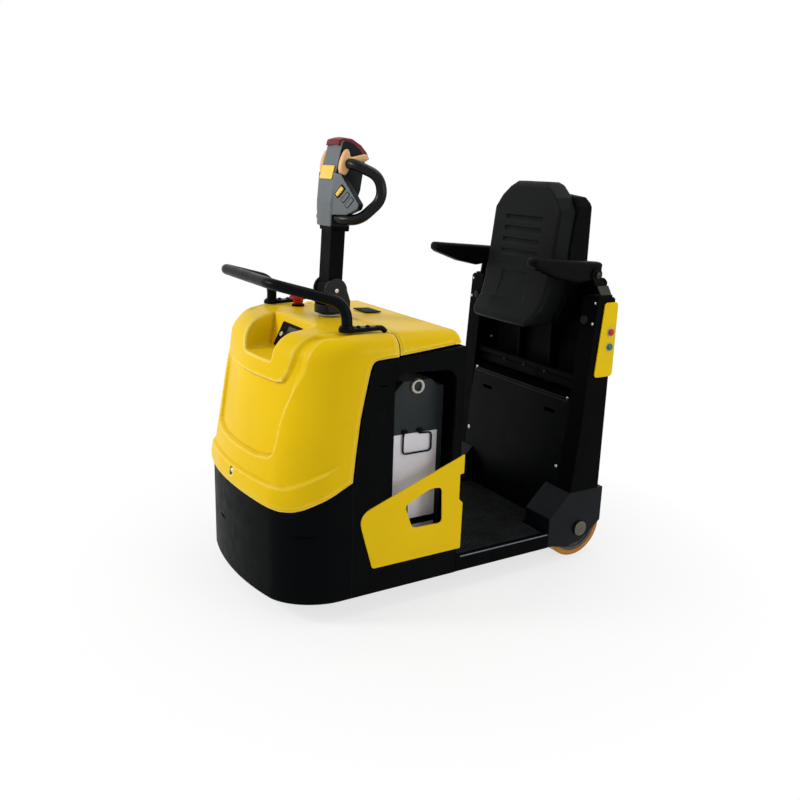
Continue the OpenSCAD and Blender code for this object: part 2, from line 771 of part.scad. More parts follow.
module drive_hub() in_frame() color("#8d9093") wheel_hub(wheelbase, 0, drive_tyre_w, drive_axle_r);
module drive_tyre() in_frame() color("#d98a1e") tyre(wheelbase, 0, drive_tyre_w);
module rear_hub_left() in_frame() color("#8d9093") wheel_hub(0, rear_tyre_y, rear_tyre_w, axle_r);
module rear_tyre_left() in_frame() color("#d98a1e") tyre(0, rear_tyre_y, rear_tyre_w);
module rear_hub_right() in_frame() color("#8d9093") wheel_hub(0, -rear_tyre_y, rear_tyre_w, axle_r);
module rear_tyre_right() in_frame() color("#d98a1e") tyre(0, -rear_tyre_y, rear_tyre_w);

floor_pan();
platform_mat();
bulkhead();
drive_frame();
rear_beam();
tow_jaw();
front_skirt();
side_panels();
wheel_boxes();
columns();
kick_panel();
rear_panel();
cross_bar();
seat_post();
seat_shell();
seat_pad();
arm_brackets();
armrest_left();
armrest_right();
front_cover();
instrument_panel();
emergency_stop();
battery_cover();
cover_pad();
battery();
battery_fittings();
guards();
button_plate();
stop_button();
start_button();
hand_rail();
bearing_flange();
steering_yoke();
tiller_arm();
tiller_head();
tiller_loops();
thumb_wheels();
belly_button();
drive_unit();
drive_hub();
drive_tyre();
rear_hub_left();
rear_tyre_left();
rear_hub_right();
rear_tyre_right();
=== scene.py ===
# Looks of the stand-on electric tow tractor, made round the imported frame.
# Sizes are millimetres measured forwards from the rear axle, out from the middle and up from the
# floor, as in the part's source. to_frame() turns them into the frame's metres.
import json
import math

import bmesh
import bpy
import numpy as np
from mathutils import Euler, Matrix, Vector
from mathutils.geometry import tessellate_polygon

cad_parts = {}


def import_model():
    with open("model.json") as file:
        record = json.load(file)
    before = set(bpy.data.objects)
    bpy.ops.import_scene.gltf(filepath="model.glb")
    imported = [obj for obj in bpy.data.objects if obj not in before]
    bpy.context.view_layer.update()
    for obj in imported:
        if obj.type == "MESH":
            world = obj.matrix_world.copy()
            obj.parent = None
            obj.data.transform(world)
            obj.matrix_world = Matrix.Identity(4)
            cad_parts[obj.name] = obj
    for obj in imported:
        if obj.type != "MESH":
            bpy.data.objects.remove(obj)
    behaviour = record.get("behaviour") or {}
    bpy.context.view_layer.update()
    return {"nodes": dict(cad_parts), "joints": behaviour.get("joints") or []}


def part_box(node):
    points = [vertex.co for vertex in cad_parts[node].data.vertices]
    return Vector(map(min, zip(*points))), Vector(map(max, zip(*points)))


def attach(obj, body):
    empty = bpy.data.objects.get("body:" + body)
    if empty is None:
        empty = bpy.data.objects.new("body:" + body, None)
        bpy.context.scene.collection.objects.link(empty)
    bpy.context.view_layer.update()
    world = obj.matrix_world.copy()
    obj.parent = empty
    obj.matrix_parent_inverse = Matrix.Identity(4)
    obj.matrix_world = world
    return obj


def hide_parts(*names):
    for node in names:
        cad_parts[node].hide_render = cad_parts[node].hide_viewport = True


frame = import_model()

NODES = frame["nodes"]
MM = 0.001
PIVOT = {j["name"]: np.array(j["pos_m"]) for j in frame["joints"]}
AXLE_X = PIVOT["rear_spin_left"][0]
X, Y, Z = (1, 0, 0), (0, 1, 0), (0, 0, 1)
SIDES = (1, -1)
SHARP_OVER, BEVEL_OVER, FLAT_UNDER = (math.radians(a) for a in (40, 32, 0.8))
WELD_GAP = 2e-5


# Measures


def to_frame(points):
    """Points in millimetres from the rear axle, as metres in the frame."""
    return np.asarray(points, float) * MM + (AXLE_X, 0, 0)


def from_frame(point):
    return (np.asarray(point, float) - (AXLE_X, 0, 0)) / MM


def box_mm(node):
    low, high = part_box(node)
    return from_frame(low), from_frame(high)


def unit(v):
    v = np.asarray(v, float)
    return v / np.linalg.norm(v)


HALF_W = box_mm("side_panels")[1][1]
FLOOR_GAP = box_mm("side_panels")[0][2]
NOSE_X = box_mm("front_cover")[1][0]
TILLER = from_frame(PIVOT["tiller_tilt"])
ARM_PIVOT = from_frame(PIVOT["armrest_left_hinge"])
TILLER_LEAN = math.radians(3)
SPLIT_X = 852
COVER_GAP = 5
COVER_T = 5
GRID_Y = 402
LID_REAR_X = box_mm("battery_cover")[0][0] + 17
CROWN_X, CROWN_Z = 1003, 972
LOCK_X, LOCK_Y, LOCK_Z = 1286, 23, 456
FAR_INSIDE = -99
NOSE_FROM_X, NOSE_TO_X = 1200, 1304


# Forms as fields: a field is negative inside, and its value is near the distance to the surface


def round_and(a, b, r):
    """Where both fields hold, with an edge of radius r."""
    return np.minimum(np.maximum(a, b), -r) + np.hypot(np.maximum(a + r, 0), np.maximum(b + r, 0))


def round_or(a, b, r):
    """Where either field holds, with a fillet of radius r."""
    return -round_and(-a, -b, r)


def soft_and(a, b, k):
    """Where both fields hold, for faces that meet at a shallow angle."""
    h = np.maximum(k - np.abs(a - b), 0) / k
    return np.maximum(a, b) + h * h * k / 4


def ramp(t):
    t = np.clip(t, 0, 1)
    return t * t * (3 - 2 * t)


def inset(spots, r):
    """The corners of an anticlockwise outline, moved in by r."""
    moved = []
    for before, spot, after in zip(spots[-1:] + spots[:-1], spots, spots[1:] + spots[:1]):
        a = unit(np.subtract(spot, before))
        b = unit(np.subtract(after, spot))
        inward = np.array([-a[1] - b[1], a[0] + b[0]])
        moved.append(tuple(np.add(spot, inward * r / (1 + a @ b))))
    return moved


def outline(u, v, spots, r=0):
    """Distance to a flat outline with outer corners of radius r."""
    if r:
        spots = inset(spots, r)
    nearest = np.inf
    inside = False
    for (au, av), (bu, bv) in zip(spots, spots[1:] + spots[:1]):
        du, dv = bu - au, bv - av
        t = np.clip(((u - au) * du + (v - av) * dv) / (du * du + dv * dv), 0, 1)
        nearest = np.minimum(nearest, np.hypot(u - au - t * du, v - av - t * dv))
        inside = inside ^ (((av > v) != (bv > v)) & (u < au + (v - av) * du / (dv or 1)))
    return np.where(inside, -nearest, nearest) - r


def capsule(x, y, z, a, b, ra, rb):
    """A round bar from a to b, of radius ra at one end and rb at the other."""
    a, b = np.asarray(a, float), np.asarray(b, float)
    d = b - a
    t = np.clip(((x - a[0]) * d[0] + (y - a[1]) * d[1] + (z - a[2]) * d[2]) / (d @ d), 0, 1)
    gap = np.sqrt((x - a[0] - t * d[0]) ** 2 + (y - a[1] - t * d[1]) ** 2 + (z - a[2] - t * d[2]) ** 2)
    return gap - (ra + t * (rb - ra))


def slope_of(field, p):
    """Value and gradient of a field at points p."""
    h = 0.2
    value = field(*p.T)
    grad = np.empty_like(p)
    for axis in range(3):
        q = p.copy()
        q[:, axis] += h
        grad[:, axis] = (field(*q.T) - value) / h
    return value, grad


def settle(field, p, reach, rounds=4):
    """Points p moved onto the field's surface."""
    for _ in range(rounds):
        value, grad = slope_of(field, p)
        step = value / np.maximum((grad ** 2).sum(1), 0.1)
        p = p - grad * np.clip(step, -reach, reach)[:, None]
    return p


def skin_of(field, low, high, step):
    """Points and four-sided faces of a field's surface, by surface nets."""
    axes = [np.arange(a, b + step, step) for a, b in zip(low, high)]
    x, y, z = axes[0][:, None, None], axes[1][None, :, None], axes[2][None, None, :]
    shape = tuple(len(a) for a in axes)
    f = np.broadcast_to(field(x, y, z), shape)
    cells = tuple(n - 1 for n in shape)
    total = np.zeros(cells + (3,))
    count = np.zeros(cells)
    quads = []
    for axis in range(3):
        lower = [slice(None)] * 3
        upper = [slice(None)] * 3
        lower[axis], upper[axis] = slice(0, -1), slice(1, None)
        a, b = f[tuple(lower)], f[tuple(upper)]
        at = np.argwhere((a < 0) != (b < 0))
        fa, fb = a[tuple(at.T)], b[tuple(at.T)]
        where = at.astype(float)
        where[:, axis] += fa / (fa - fb)
        o1, o2 = [k for k in range(3) if k != axis]
        ring = []
        good = np.ones(len(at), bool)
        for s1, s2 in ((0, 0), (1, 0), (1, 1), (0, 1)):
            cell = at.copy()
            cell[:, o1] -= s1
            cell[:, o2] -= s2
            ok = ((cell >= 0) & (cell < np.array(cells))).all(1)
            good &= ok
            keep = tuple(cell[ok].T)
            np.add.at(total, keep, where[ok])
            np.add.at(count, keep, 1)
            ring.append(cell)
        flip = (fa < 0) ^ (axis == 1)
        ring = np.stack(ring, 1)[good]
        flip = flip[good]
        ring[flip] = ring[flip][:, ::-1]
        quads.append(ring)
    used = count > 0
    number = np.full(cells, -1)
    number[used] = np.arange(used.sum())
    points = total[used] / count[used][:, None] * step + np.array(low, float)
    rings = np.concatenate(quads)
    faces = number[rings[..., 0], rings[..., 1], rings[..., 2]]
    return settle(field, points, step / 2), faces[:, ::-1]


def trim(points, faces, field, border, reach):
    """Keeps the skin where border is negative, its edge drawn out to the border's line."""
    faces = faces[(border(*points.T)[faces] < 0).any(1)]
    used, faces = np.unique(faces, return_inverse=True)
    faces = faces.reshape(-1, 4)
    points = points[used]
    edge = border(*points.T) > 0
    moved = points[edge]
    for _ in range(5):
        _, normal = slope_of(field, moved)
        normal /= np.maximum(np.linalg.norm(normal, axis=1), 1e-6)[:, None]
        gap, grad = slope_of(border, moved)
        grad -= normal * (grad * normal).sum(1)[:, None]
        step = gap / np.maximum((grad ** 2).sum(1), 0.1)
        moved = settle(field, moved - grad * np.clip(step, -reach, reach)[:, None], reach, 2)
    points[edge] = moved
    return points, faces


# Meshes


def linked(name, data):
    thing = bpy.data.objects.new(name, data)
    bpy.context.scene.collection.objects.link(thing)
    return thing


def make(name, points, faces):
    """An object of that name from points in millimetres."""
    mesh = bpy.data.meshes.new(name)
    mesh.from_pydata(to_frame(points).tolist(), [], [list(map(int, f)) for f in faces])
    mesh.update()
    mesh.polygons.foreach_set("use_smooth", [True] * len(mesh.polygons))
    return linked(name, mesh)


def modifier(thing, kind, **settings):
    added = thing.modifiers.new(kind.title(), kind)
    for key, value in settings.items():
        setattr(added, key, value)


def dress(thing, finish, width):
    """Gives a solid its material and small round edges that catch the light."""
    thing.data.materials.clear()
    paint(thing, finish)
    thing.data.polygons.foreach_set("material_index", [0] * len(thing.data.polygons))
    modifier(thing, "WELD", merge_threshold=WELD_GAP)
    modifier(thing, "DECIMATE", decimate_type="DISSOLVE", angle_limit=FLAT_UNDER)
    if width:
        modifier(
            thing, "BEVEL", width=width * MM, segments=3, limit_method="ANGLE",
            angle_limit=BEVEL_OVER, use_clamp_overlap=True,
        )
    modifier(thing, "NODES", node_group=smoothing())
    modifier(thing, "WEIGHTED_NORMAL", keep_sharp=True)


def smoothing():
    """A node group that shades smooth but for the edges over SHARP_OVER."""
    known = bpy.data.node_groups.get("smooth_by_angle")
    if known:
        return known
    tree = bpy.data.node_groups.new("smooth_by_angle", "GeometryNodeTree")
    for way in ("INPUT", "OUTPUT"):
        tree.interface.new_socket("Geometry", in_out=way, socket_type="NodeSocketGeometry")
    kinds = (
        "NodeGroupInput", "NodeGroupOutput", "GeometryNodeSetShadeSmooth", "GeometryNodeSetShadeSmooth",
        "GeometryNodeInputMeshEdgeAngle", "FunctionNodeCompare",
    )
    start, end, faces, edges, angle, over = (tree.nodes.new(kind) for kind in kinds)
    edges.domain = "EDGE"
    edges.inputs["Shade Smooth"].default_value = False
    over.operation = "GREATER_THAN"
    over.inputs[1].default_value = SHARP_OVER
    for output, socket in (
        (angle.outputs[0], over.inputs[0]), (over.outputs[0], edges.inputs["Selection"]),
        (start.outputs[0], faces.inputs["Geometry"]), (faces.outputs[0], edges.inputs["Geometry"]),
        (edges.outputs[0], end.inputs[0]),
    ):
        tree.links.new(output, socket)
    return tree


def paint(thing, finish):
    thing.data.materials.append(MATERIALS[finish])


def place(thing, body, slot, *nodes):
    """Rides on a body and stands for the nodes, if any. The slot is not used."""
    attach(thing, body)
    if nodes:
        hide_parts(*nodes)


def piece(name, shape, finish, slot, *nodes, body="chassis", edge=None, outwards=False):
    """A placed piece from points and faces. With an edge, even 0, it is dressed, else only painted."""
    thing = make(name, *shape)
    if outwards:
        face_out(thing)
    if edge is None:
        paint(thing, finish)
    else:
        dress(thing, finish, edge)
    place(thing, body, slot, *nodes)
    return thing


def bend(a, b, c, s, steps=12):
    """Points round the corner b, from s before it to s after it."""
    p = b + s * unit(a - b)
    q = b + s * unit(c - b)
    return [(1 - t) ** 2 * p + 2 * t * (1 - t) * b + t * t * q for t in np.linspace(0, 1, steps)]


def route(stops, gap):
    """A smooth path past the stops, each a point and the length of its bend."""
    spots = [np.array(s[0], float) for s in stops]
    corners = [spots[0]]
    for i in range(1, len(stops) - 1):
        corners += bend(spots[i - 1], spots[i], spots[i + 1], stops[i][1])
    corners.append(spots[-1])
    corners = np.array(corners)
    run = np.r_[0, np.cumsum(np.linalg.norm(np.diff(corners, axis=0), axis=1))]
    at = np.linspace(0, run[-1], max(int(run[-1] / gap), 2))
    return np.stack([np.interp(at, run, corners[:, k]) for k in range(3)], 1)


def tube_faces(rings, sides):
    """Faces between rings of points, and one across each end."""
    faces = [
        (i * sides + k, i * sides + (k + 1) % sides, (i + 1) * sides + (k + 1) % sides, (i + 1) * sides + k)
        for i in range(rings - 1) for k in range(sides)
    ]
    return faces + [tuple(range(sides))[::-1], tuple(range((rings - 1) * sides, rings * sides))]


def tube(path, radius, sides):
    """Points and faces of a tube along a path, its end faces domed a little."""
    path = np.asarray(path, float)
    along = np.gradient(path, axis=0)
    along /= np.linalg.norm(along, axis=1)[:, None]
    side = unit(np.cross(along[0], (0.3, 0.2, 0.9)))
    rings = []
    turn = np.linspace(0, 2 * np.pi, sides, endpoint=False)
    for p, t in zip(path, along):
        side = unit(side - t * (side @ t))
        up = np.cross(t, side)
        rings.append(p + radius * (np.cos(turn)[:, None] * side + np.sin(turn)[:, None] * up))
    shrink, rise = 0.8, radius * 0.12
    first = path[0] + (rings[0] - path[0]) * shrink - along[0] * rise
    last = path[-1] + (rings[-1] - path[-1]) * shrink + along[-1] * rise
    rings = [first, *rings, last]
    return np.concatenate(rings), tube_faces(len(rings), sides)


def turned(profile, centre, axis, sides=32):
    """A turned piece: profile holds its radius and height along axis, from the bottom up."""
    axis = unit(axis)
    a = unit(np.cross(Z if abs(axis[2]) < 0.9 else X, axis))
    b = np.cross(axis, a)
    points = []
    for r, h in profile:
        middle = np.add(centre, axis * h)
        for t in np.linspace(0, 2 * np.pi, sides, endpoint=False):
            points.append(middle + max(r, 0.01) * (np.cos(t) * a + np.sin(t) * b))
    return np.array(points), tube_faces(len(profile), sides)


def plate(spots, origin, across, up, thick):
    """A flat plate drawn in two directions from origin, standing thick off the plane."""
    across, up = np.asarray(across, float), np.asarray(up, float)
    out = np.cross(across, up)
    flat = [np.add(origin, across * u + up * v) for u, v in spots]
    points = flat + [p + out * thick for p in flat]
    n = len(spots)
    faces = [(k, (k + 1) % n, n + (k + 1) % n, n + k) for k in range(n)]
    faces.append(tuple(range(n))[::-1])
    faces.append(tuple(range(n, 2 * n)))
    return np.array(points), faces


def eased(spots, s, steps=5):
    """An outline with each corner rounded off over a length s, or one length for each corner."""
    sizes = s if isinstance(s, (list, tuple)) else [s] * len(spots)
    corners = []
    for before, spot, after, size in zip(spots[-1:] + spots[:-1], spots, spots[1:] + spots[:1], sizes):
        before, spot, after = (np.array(q, float) for q in (before, spot, after))
        corners += [tuple(q) for q in bend(before, spot, after, size, steps)]
    return corners


def pierced(outer, holes, y_low, y_high):
    """An upright plate across y with holes, drawn by distance forwards and height."""
    loops = [outer, *holes]
    flat = [q for loop in loops for q in loop]
    n = len(flat)
    caps = [tuple(t) for t in tessellate_polygon([[Vector((u, v, 0)) for u, v in loop] for loop in loops])]
    points = [(u, y_low, v) for u, v in flat] + [(u, y_high, v) for u, v in flat]
    faces = caps + [(c + n, b + n, a + n) for a, b, c in caps]
    start = 0
    for loop in loops:
        k = len(loop)
        ring = [(start + i, start + (i + 1) % k) for i in range(k)]
        faces += [(a, b, b + n, a + n) for a, b in ring]
        start += k
    return np.array(points), faces


def face_out(thing):
    """Turns every face of a closed mesh outwards."""
    work = bmesh.new()
    work.from_mesh(thing.data)
    bmesh.ops.recalc_face_normals(work, faces=work.faces)
    work.to_mesh(thing.data)
    work.free()


def arc(r, start, end, step, middle):
    """Points on a circle, from one whole degree up to another."""
    turn = [math.radians(t) for t in range(start, end, step)]
    return [(middle[0] + r * math.cos(t), middle[1] + r * math.sin(t)) for t in turn]


def rectangle(u0, v0, u1, v1):
    return [(u0, v0), (u1, v0), (u1, v1), (u0, v1)]


def rounded_box(w, h, r):
    """Corners of a rectangle w by h about its middle, with radius r, anticlockwise."""
    spots, steps = [], 5
    for k, (su, sv) in enumerate(((1, 1), (-1, 1), (-1, -1), (1, -1))):
        for i in range(steps + 1):
            t = math.pi / 2 * (k + i / steps)
            spots.append((su * (w / 2 - r) + r * math.cos(t), sv * (h / 2 - r) + r * math.sin(t)))
    return spots


def tile(w, h, r, *where):
    """A plate w by h with corners of radius r."""
    return plate(rounded_box(w, h, r), *where)


def joined(*shapes):
    """Several shapes as one list of points and faces."""
    points, faces, start = [], [], 0
    for p, f in shapes:
        points.append(np.asarray(p, float))
        faces += [tuple(start + k for k in face) for face in f]
        start += len(p)
    return np.concatenate(points), faces


def mirrored(shape):
    p, f = shape
    return np.asarray(p) * (1, -1, 1), [tuple(face)[::-1] for face in f]


def both_sides(shape):
    return joined(shape, mirrored(shape))


def bolts(rows):
    """Button-head screws with a socket, each on a washer: rows hold spot, axis and radius."""
    parts = []
    for spot, axis, r in rows:
        h, lift = 0.6 * r, 0.16 * r
        head = [
            (r, lift), (r, lift + h * 0.35), (r * 0.86, lift + h * 0.75), (r * 0.55, lift + h),
            (r * 0.5, lift + h), (r * 0.46, lift + h * 0.45), (0, lift + h * 0.4),
        ]
        washer = [(r * 1.45, 0), (r * 1.45, lift * 0.8), (r * 1.35, lift), (r * 0.5, lift)]
        parts += [turned(head, spot, axis, 24), turned(washer, spot, axis, 24)]
    return joined(*parts)


# Materials


class Nodes:
    """Shader nodes in one tree."""

    def __init__(self, tree):
        self.tree = tree

    def add(self, kind, settings=(), **inputs):
        node = self.tree.nodes.new("ShaderNode" + kind)
        for key, value in dict(settings).items():
            setattr(node, key, value)
        for key, value in inputs.items():
            self.put(node.inputs[key.replace("_", " ")], value)
        return node

    def put(self, socket, value):
        if isinstance(value, bpy.types.NodeSocket):
            self.tree.links.new(value, socket)
        else:
            socket.default_value = value

    def levels(self, fac, low, high, out_low=0.0, out_high=1.0):
        ends = {"From_Min": low, "From_Max": high, "To_Min": out_low, "To_Max": out_high}
        return self.add("MapRange", Value=fac, **ends).outputs[0]

    def math(self, operation, a, b):
        node = self.add("Math", {"operation": operation})
        self.put(node.inputs[0], a)
        self.put(node.inputs[1], b)
        return node.outputs[0]

    def seen_straight(self):
        """1 for rays that come from the camera, off gloss or through glass, else 0."""
        rays = self.add("LightPath").outputs
        bounced = self.math("MAXIMUM", rays["Is Glossy Ray"], rays["Is Transmission Ray"])
        return self.math("MAXIMUM", rays["Is Camera Ray"], bounced)


class Surface(Nodes):
    """A material whose colour, gloss and bump come from nodes."""

    def __init__(self, name, **principled):
        self.made = bpy.data.materials.new(name)
        self.made.use_nodes = True
        super().__init__(self.made.node_tree)
        self.shader = self.tree.nodes["Principled BSDF"]
        for key, value in principled.items():
            self.put(self.shader.inputs[key.replace("_", " ")], value)
        self.spot = self.add("TexCoord").outputs["Object"]

    def noise(self, scale, detail=3, stretch=None):
        spot = self.spot
        if stretch:
            spot = self.add("Mapping", Vector=self.spot, Scale=stretch).outputs[0]
        return self.add("TexNoise", Vector=spot, Scale=scale, Detail=detail).outputs["Fac"]

    def mix(self, fac, a, b):
        node = self.add("Mix", {"data_type": "RGBA"})
        self.put(node.inputs["Factor"], fac)
        for socket, value in zip([s for s in node.inputs if s.type == "RGBA"], (a, b)):
            self.put(socket, value if isinstance(value, bpy.types.NodeSocket) else (*value, 1))
        return [s for s in node.outputs if s.type == "RGBA"][0]

    def edges(self, radius):
        """1 along outer and inner edges, 0 on the flats."""
        round_normal = self.add("Bevel", {"samples": 6}, Radius=radius).outputs[0]
        true_normal = self.add("NewGeometry").outputs["Normal"]
        dot = self.add("VectorMath", {"operation": "DOT_PRODUCT"})
        self.put(dot.inputs[0], round_normal)
        self.put(dot.inputs[1], true_normal)
        return self.levels(self.math("SUBTRACT", 1.0, dot.outputs["Value"]), 0.02, 0.25)

    def bump(self, height, distance, strength):
        """A bump over the last one, by a noise or another node's output."""
        if isinstance(height, tuple):
            height = self.noise(*height)
        node = self.add("Bump", Height=height, Strength=strength, Distance=distance)
        normal = self.shader.inputs["Normal"]
        if normal.is_linked:
            self.put(node.inputs["Normal"], normal.links[0].from_socket)
        self.put(normal, node.outputs[0])

    def cloudy(self, noise, dark, light, low=0.3):
        """A tone that wanders between two colours."""
        return self.mix(self.levels(self.noise(*noise), low, 0.7), dark, light)

    def over(self, tone, noise, low, high, amount, colour):
        """The tone with patches of another colour."""
        return self.mix(self.levels(self.noise(*noise), low, high, 0.0, amount), tone, colour)

    def edges_rubbed_and_sheened(self, tone, radius, noise, low, high, amount, colour):
        """The tone with another colour in patches along the edges: a darker colour is worn paint, a lighter
        grey on black is rubbed steel and partly a painted highlight.
        """
        patches = self.levels(self.noise(*noise), low, high, 0.0, amount)
        return self.mix(self.math("MULTIPLY", self.edges(radius), patches), tone, colour)

    def finish(self, tone, gloss, smoothest, roughest, *bumps):
        rough = self.levels(self.noise(*gloss), 0.3, 0.7, smoothest, roughest)
        self.put(self.shader.inputs["Base Color"], tone)
        self.put(self.shader.inputs["Roughness"], rough)
        for row in bumps:
            self.bump(*row)
        return self.made


def shade(colour, by):
    return tuple(c * by for c in colour)


def glossy_paint(name, colour, wear_and_sheen=0.0, painted_light=0.0):
    """Sprayed paint: a fine orange peel, with a painted highlight on the crests and painted shade in the
    hollows.
    """
    s = Surface(name, Specular_IOR_Level=0.06, Coat_Weight=0.03, Coat_Roughness=0.12)
    tone = s.cloudy((3.5, 4), shade(colour, 0.955), shade(colour, 1.02))
    bent = s.add("NewGeometry").outputs["Pointiness"]
    # Painted highlight: a pale colour on convex crests, where a lamp would glint on the gloss.
    tone = s.mix(s.levels(bent, 0.51, 0.555, 0.0, painted_light), tone, (1.0, 0.79, 0.2))
    # Painted shade: a deep colour in the hollows.
    tone = s.mix(s.levels(bent, 0.49, 0.44, 0.0, painted_light), tone, (0.5, 0.28, 0.002))
    tone = s.over(tone, (260, 2), 0.71, 0.76, 0.35, shade(colour, 0.55))
    if wear_and_sheen:
        tone = s.edges_rubbed_and_sheened(tone, 0.003, (90, 4), 0.5, 0.62, wear_and_sheen, (0.1, 0.075, 0.04))
    return s.finish(tone, (8, 5), 0.3, 0.42, ((420, 2), 0.00022, 0.25), ((11, 2), 0.0012, 0.18))


def powder_coat(name, colour, specular, rough=0.5, wear_and_sheen=0.3):
    """Textured powder coat on steel, lighter grey along its edges: partly rubbed wear, partly a painted
    highlight.
    """
    s = Surface(name, Specular_IOR_Level=specular)
    tone = s.cloudy((5, 5), shade(colour, 0.8), shade(colour, 1.25))
    tone = s.over(tone, (60, 6, (1, 1, 0.25)), 0.55, 0.85, 0.16, (0.02, 0.019, 0.018))
    # Lighter grey edges: partly rubbed wear, partly a painted highlight.
    tone = s.edges_rubbed_and_sheened(tone, 0.0022, (45, 5), 0.45, 0.65, wear_and_sheen, (0.1, 0.1, 0.105))
    return s.finish(tone, (14, 5), rough - 0.08, rough + 0.1, ((700, 2), 0.0003, 0.3))


def moulded(name, colour, rough, specular, grain=900, depth=0.0002):
    """Moulded plastic or skin foam with a fine grain."""
    s = Surface(name, Specular_IOR_Level=specular)
    tone = s.cloudy((6, 4), shade(colour, 0.9), shade(colour, 1.1))
    tone = s.over(tone, (150, 3), 0.62, 0.8, 0.25, shade(colour, 1.5))
    cells = s.add("TexVoronoi", Vector=s.spot, Scale=grain).outputs["Distance"]
    fine = ((grain * 1.7, 2), depth * 0.6, 0.35)
    return s.finish(tone, (20, 4), rough - 0.05, rough + 0.08, (cells, depth, 0.5), fine)


def bare_metal(name, colour, rough, stretch=(1, 1, 0.15)):
    """Zinc or turned steel with fine streaks."""
    s = Surface(name, Metallic=1.0, Specular_IOR_Level=0.5)
    streaks = s.noise(500, 3, stretch)
    tone = s.mix(s.levels(streaks, 0.3, 0.7), shade(colour, 0.82), shade(colour, 1.08))
    tone = s.over(tone, (35, 5), 0.45, 0.75, 0.5, shade(colour, 0.6))
    return s.finish(tone, (60, 4), rough - 0.08, rough + 0.14, (streaks, 0.0001, 0.3))


def plain(name, specular, cloud, patches, gloss, bump):
    """A material of one cloudy tone with patches of dirt or scuffs."""
    s = Surface(name, Specular_IOR_Level=specular)
    return s.finish(s.over(s.cloudy(*cloud), *patches), *gloss, bump)


MAT_TONE = (0.013, 0.014, 0.015)
MATERIALS = {
    # The hood's paint has a painted highlight on its crests and painted shade in its hollows.
    "yellow": glossy_paint("yellow_cover_paint", (0.85, 0.555, 0.003), painted_light=0.85),
    "plate": glossy_paint("yellow_plate_paint", (0.84, 0.56, 0.004), wear_and_sheen=0.8),
    "black": powder_coat("black_steel_coat", (0.0013, 0.0015, 0.0017), 0.02),
    "dark": powder_coat("dark_steel_coat", (0.0017, 0.002, 0.0023), 0.025, 0.45),
    "kick": powder_coat("kick_panel_coat", (0.0015, 0.0022, 0.0026), 0.04, 0.36),
    "box": powder_coat("wheel_box_coat", (0.0048, 0.0066, 0.0088), 0.08, 0.4),
    "skirt": moulded("skirt_coat", (0.0013, 0.0019, 0.0022), 0.45, 0.025, 700, 0.0002),
    "rail": moulded("rail_coat", (0.0018, 0.0025, 0.0033), 0.3, 0.05, 1200, 0.0001),
    "mat": plain(
        "mat_rubber", 0.06, ((12, 5), shade(MAT_TONE, 0.7), shade(MAT_TONE, 1.5), 0.35),
        ((35, 6), 0.55, 0.8, 0.3, (0.03, 0.028, 0.025)), ((30, 4), 0.6, 0.78), ((600, 3), 0.0004, 0.4),
    ),
    "seat": moulded("seat_skin", (0.0055, 0.0066, 0.0063), 0.42, 0.055, 500, 0.0004),
    "arm": moulded("armrest_skin", (0.0026, 0.0028, 0.0024), 0.4, 0.035, 600, 0.0003),
    "shell": moulded("black_moulding", (0.0015, 0.0017, 0.002), 0.5, 0.03),
    "grip": moulded("grip_rubber", (0.0024, 0.003, 0.0036), 0.26, 0.16, 1500, 0.0001),
    "grey": moulded("head_plastic", (0.125, 0.142, 0.15), 0.42, 0.22, 1100, 0.00012),
    "darkgrey": moulded("head_side_plastic", (0.0065, 0.0085, 0.011), 0.42, 0.08),
    "battery": powder_coat("battery_coat", (0.026, 0.032, 0.034), 0.12, 0.45, 0.4),
    "red": moulded("red_plastic", (0.42, 0.014, 0.018), 0.3, 0.3, 1500, 0.00005),
    "belly": moulded("belly_plastic", (0.17, 0.006, 0.014), 0.28, 0.12, 1500, 0.00005),
    "green": moulded("green_plastic", (0.012, 0.13, 0.05), 0.3, 0.4, 1500, 0.00005),
    "orange": moulded("thumb_plastic", (0.8, 0.47, 0.2), 0.36, 0.3, 1500, 0.00008),
    "patch": moulded("yellow_plastic", (0.86, 0.58, 0.09), 0.34, 0.25, 1500, 0.00005),
    "tyre": plain(
        "tyre_polyurethane", 0.35, ((9, 4), (0.42, 0.15, 0.008), (0.56, 0.22, 0.016)),
        ((120, 5, (1, 0.2, 1)), 0.52, 0.72, 0.6, (0.2, 0.11, 0.035)), ((40, 4), 0.32, 0.55),
        ((260, 4), 0.0004, 0.35),
    ),
    "zinc": bare_metal("zinc_screws", (0.72, 0.73, 0.74), 0.28),
    "steel": bare_metal("turned_steel", (0.42, 0.4, 0.36), 0.3, (0.3, 0.3, 1)),
    "cap": bare_metal("axle_cap_steel", (0.12, 0.11, 0.085), 0.4, (0.3, 0.3, 1)),
    "cast": bare_metal("cast_hub", (0.09, 0.085, 0.075), 0.5, (1, 1, 1)),
    # Much lighter grey along the edges: partly rubbed wear, partly a painted highlight.
    "edges_rubbed_and_sheened": powder_coat("black_coat_rubbed_and_sheened", (0.012, 0.013, 0.014), 0.1, 0.4, 0.9),
    "edge": bare_metal("rubbed_edge", (0.15, 0.165, 0.185), 0.4),
    "lock": moulded("lock_pocket_plastic", (0.55, 0.36, 0.004), 0.4, 0.3),
    "strap": bare_metal("phosphated_steel", (0.05, 0.048, 0.042), 0.45),
    "flange": moulded("bearing_flange_nylon", (0.42, 0.46, 0.36), 0.35, 0.3),
    "label": plain(
        "blank_label", 0.3, ((10, 4), (0.84, 0.81, 0.86), (0.92, 0.89, 0.94), 0.35),
        ((70, 6), 0.6, 0.8, 0.3, (0.35, 0.34, 0.33)), ((30, 4), 0.4, 0.55), ((25, 3), 0.0006, 0.3),
    ),
    "glass": moulded("display_glass", (0.006, 0.0065, 0.007), 0.16, 0.3, 2500, 0.00002),
}


# Covers


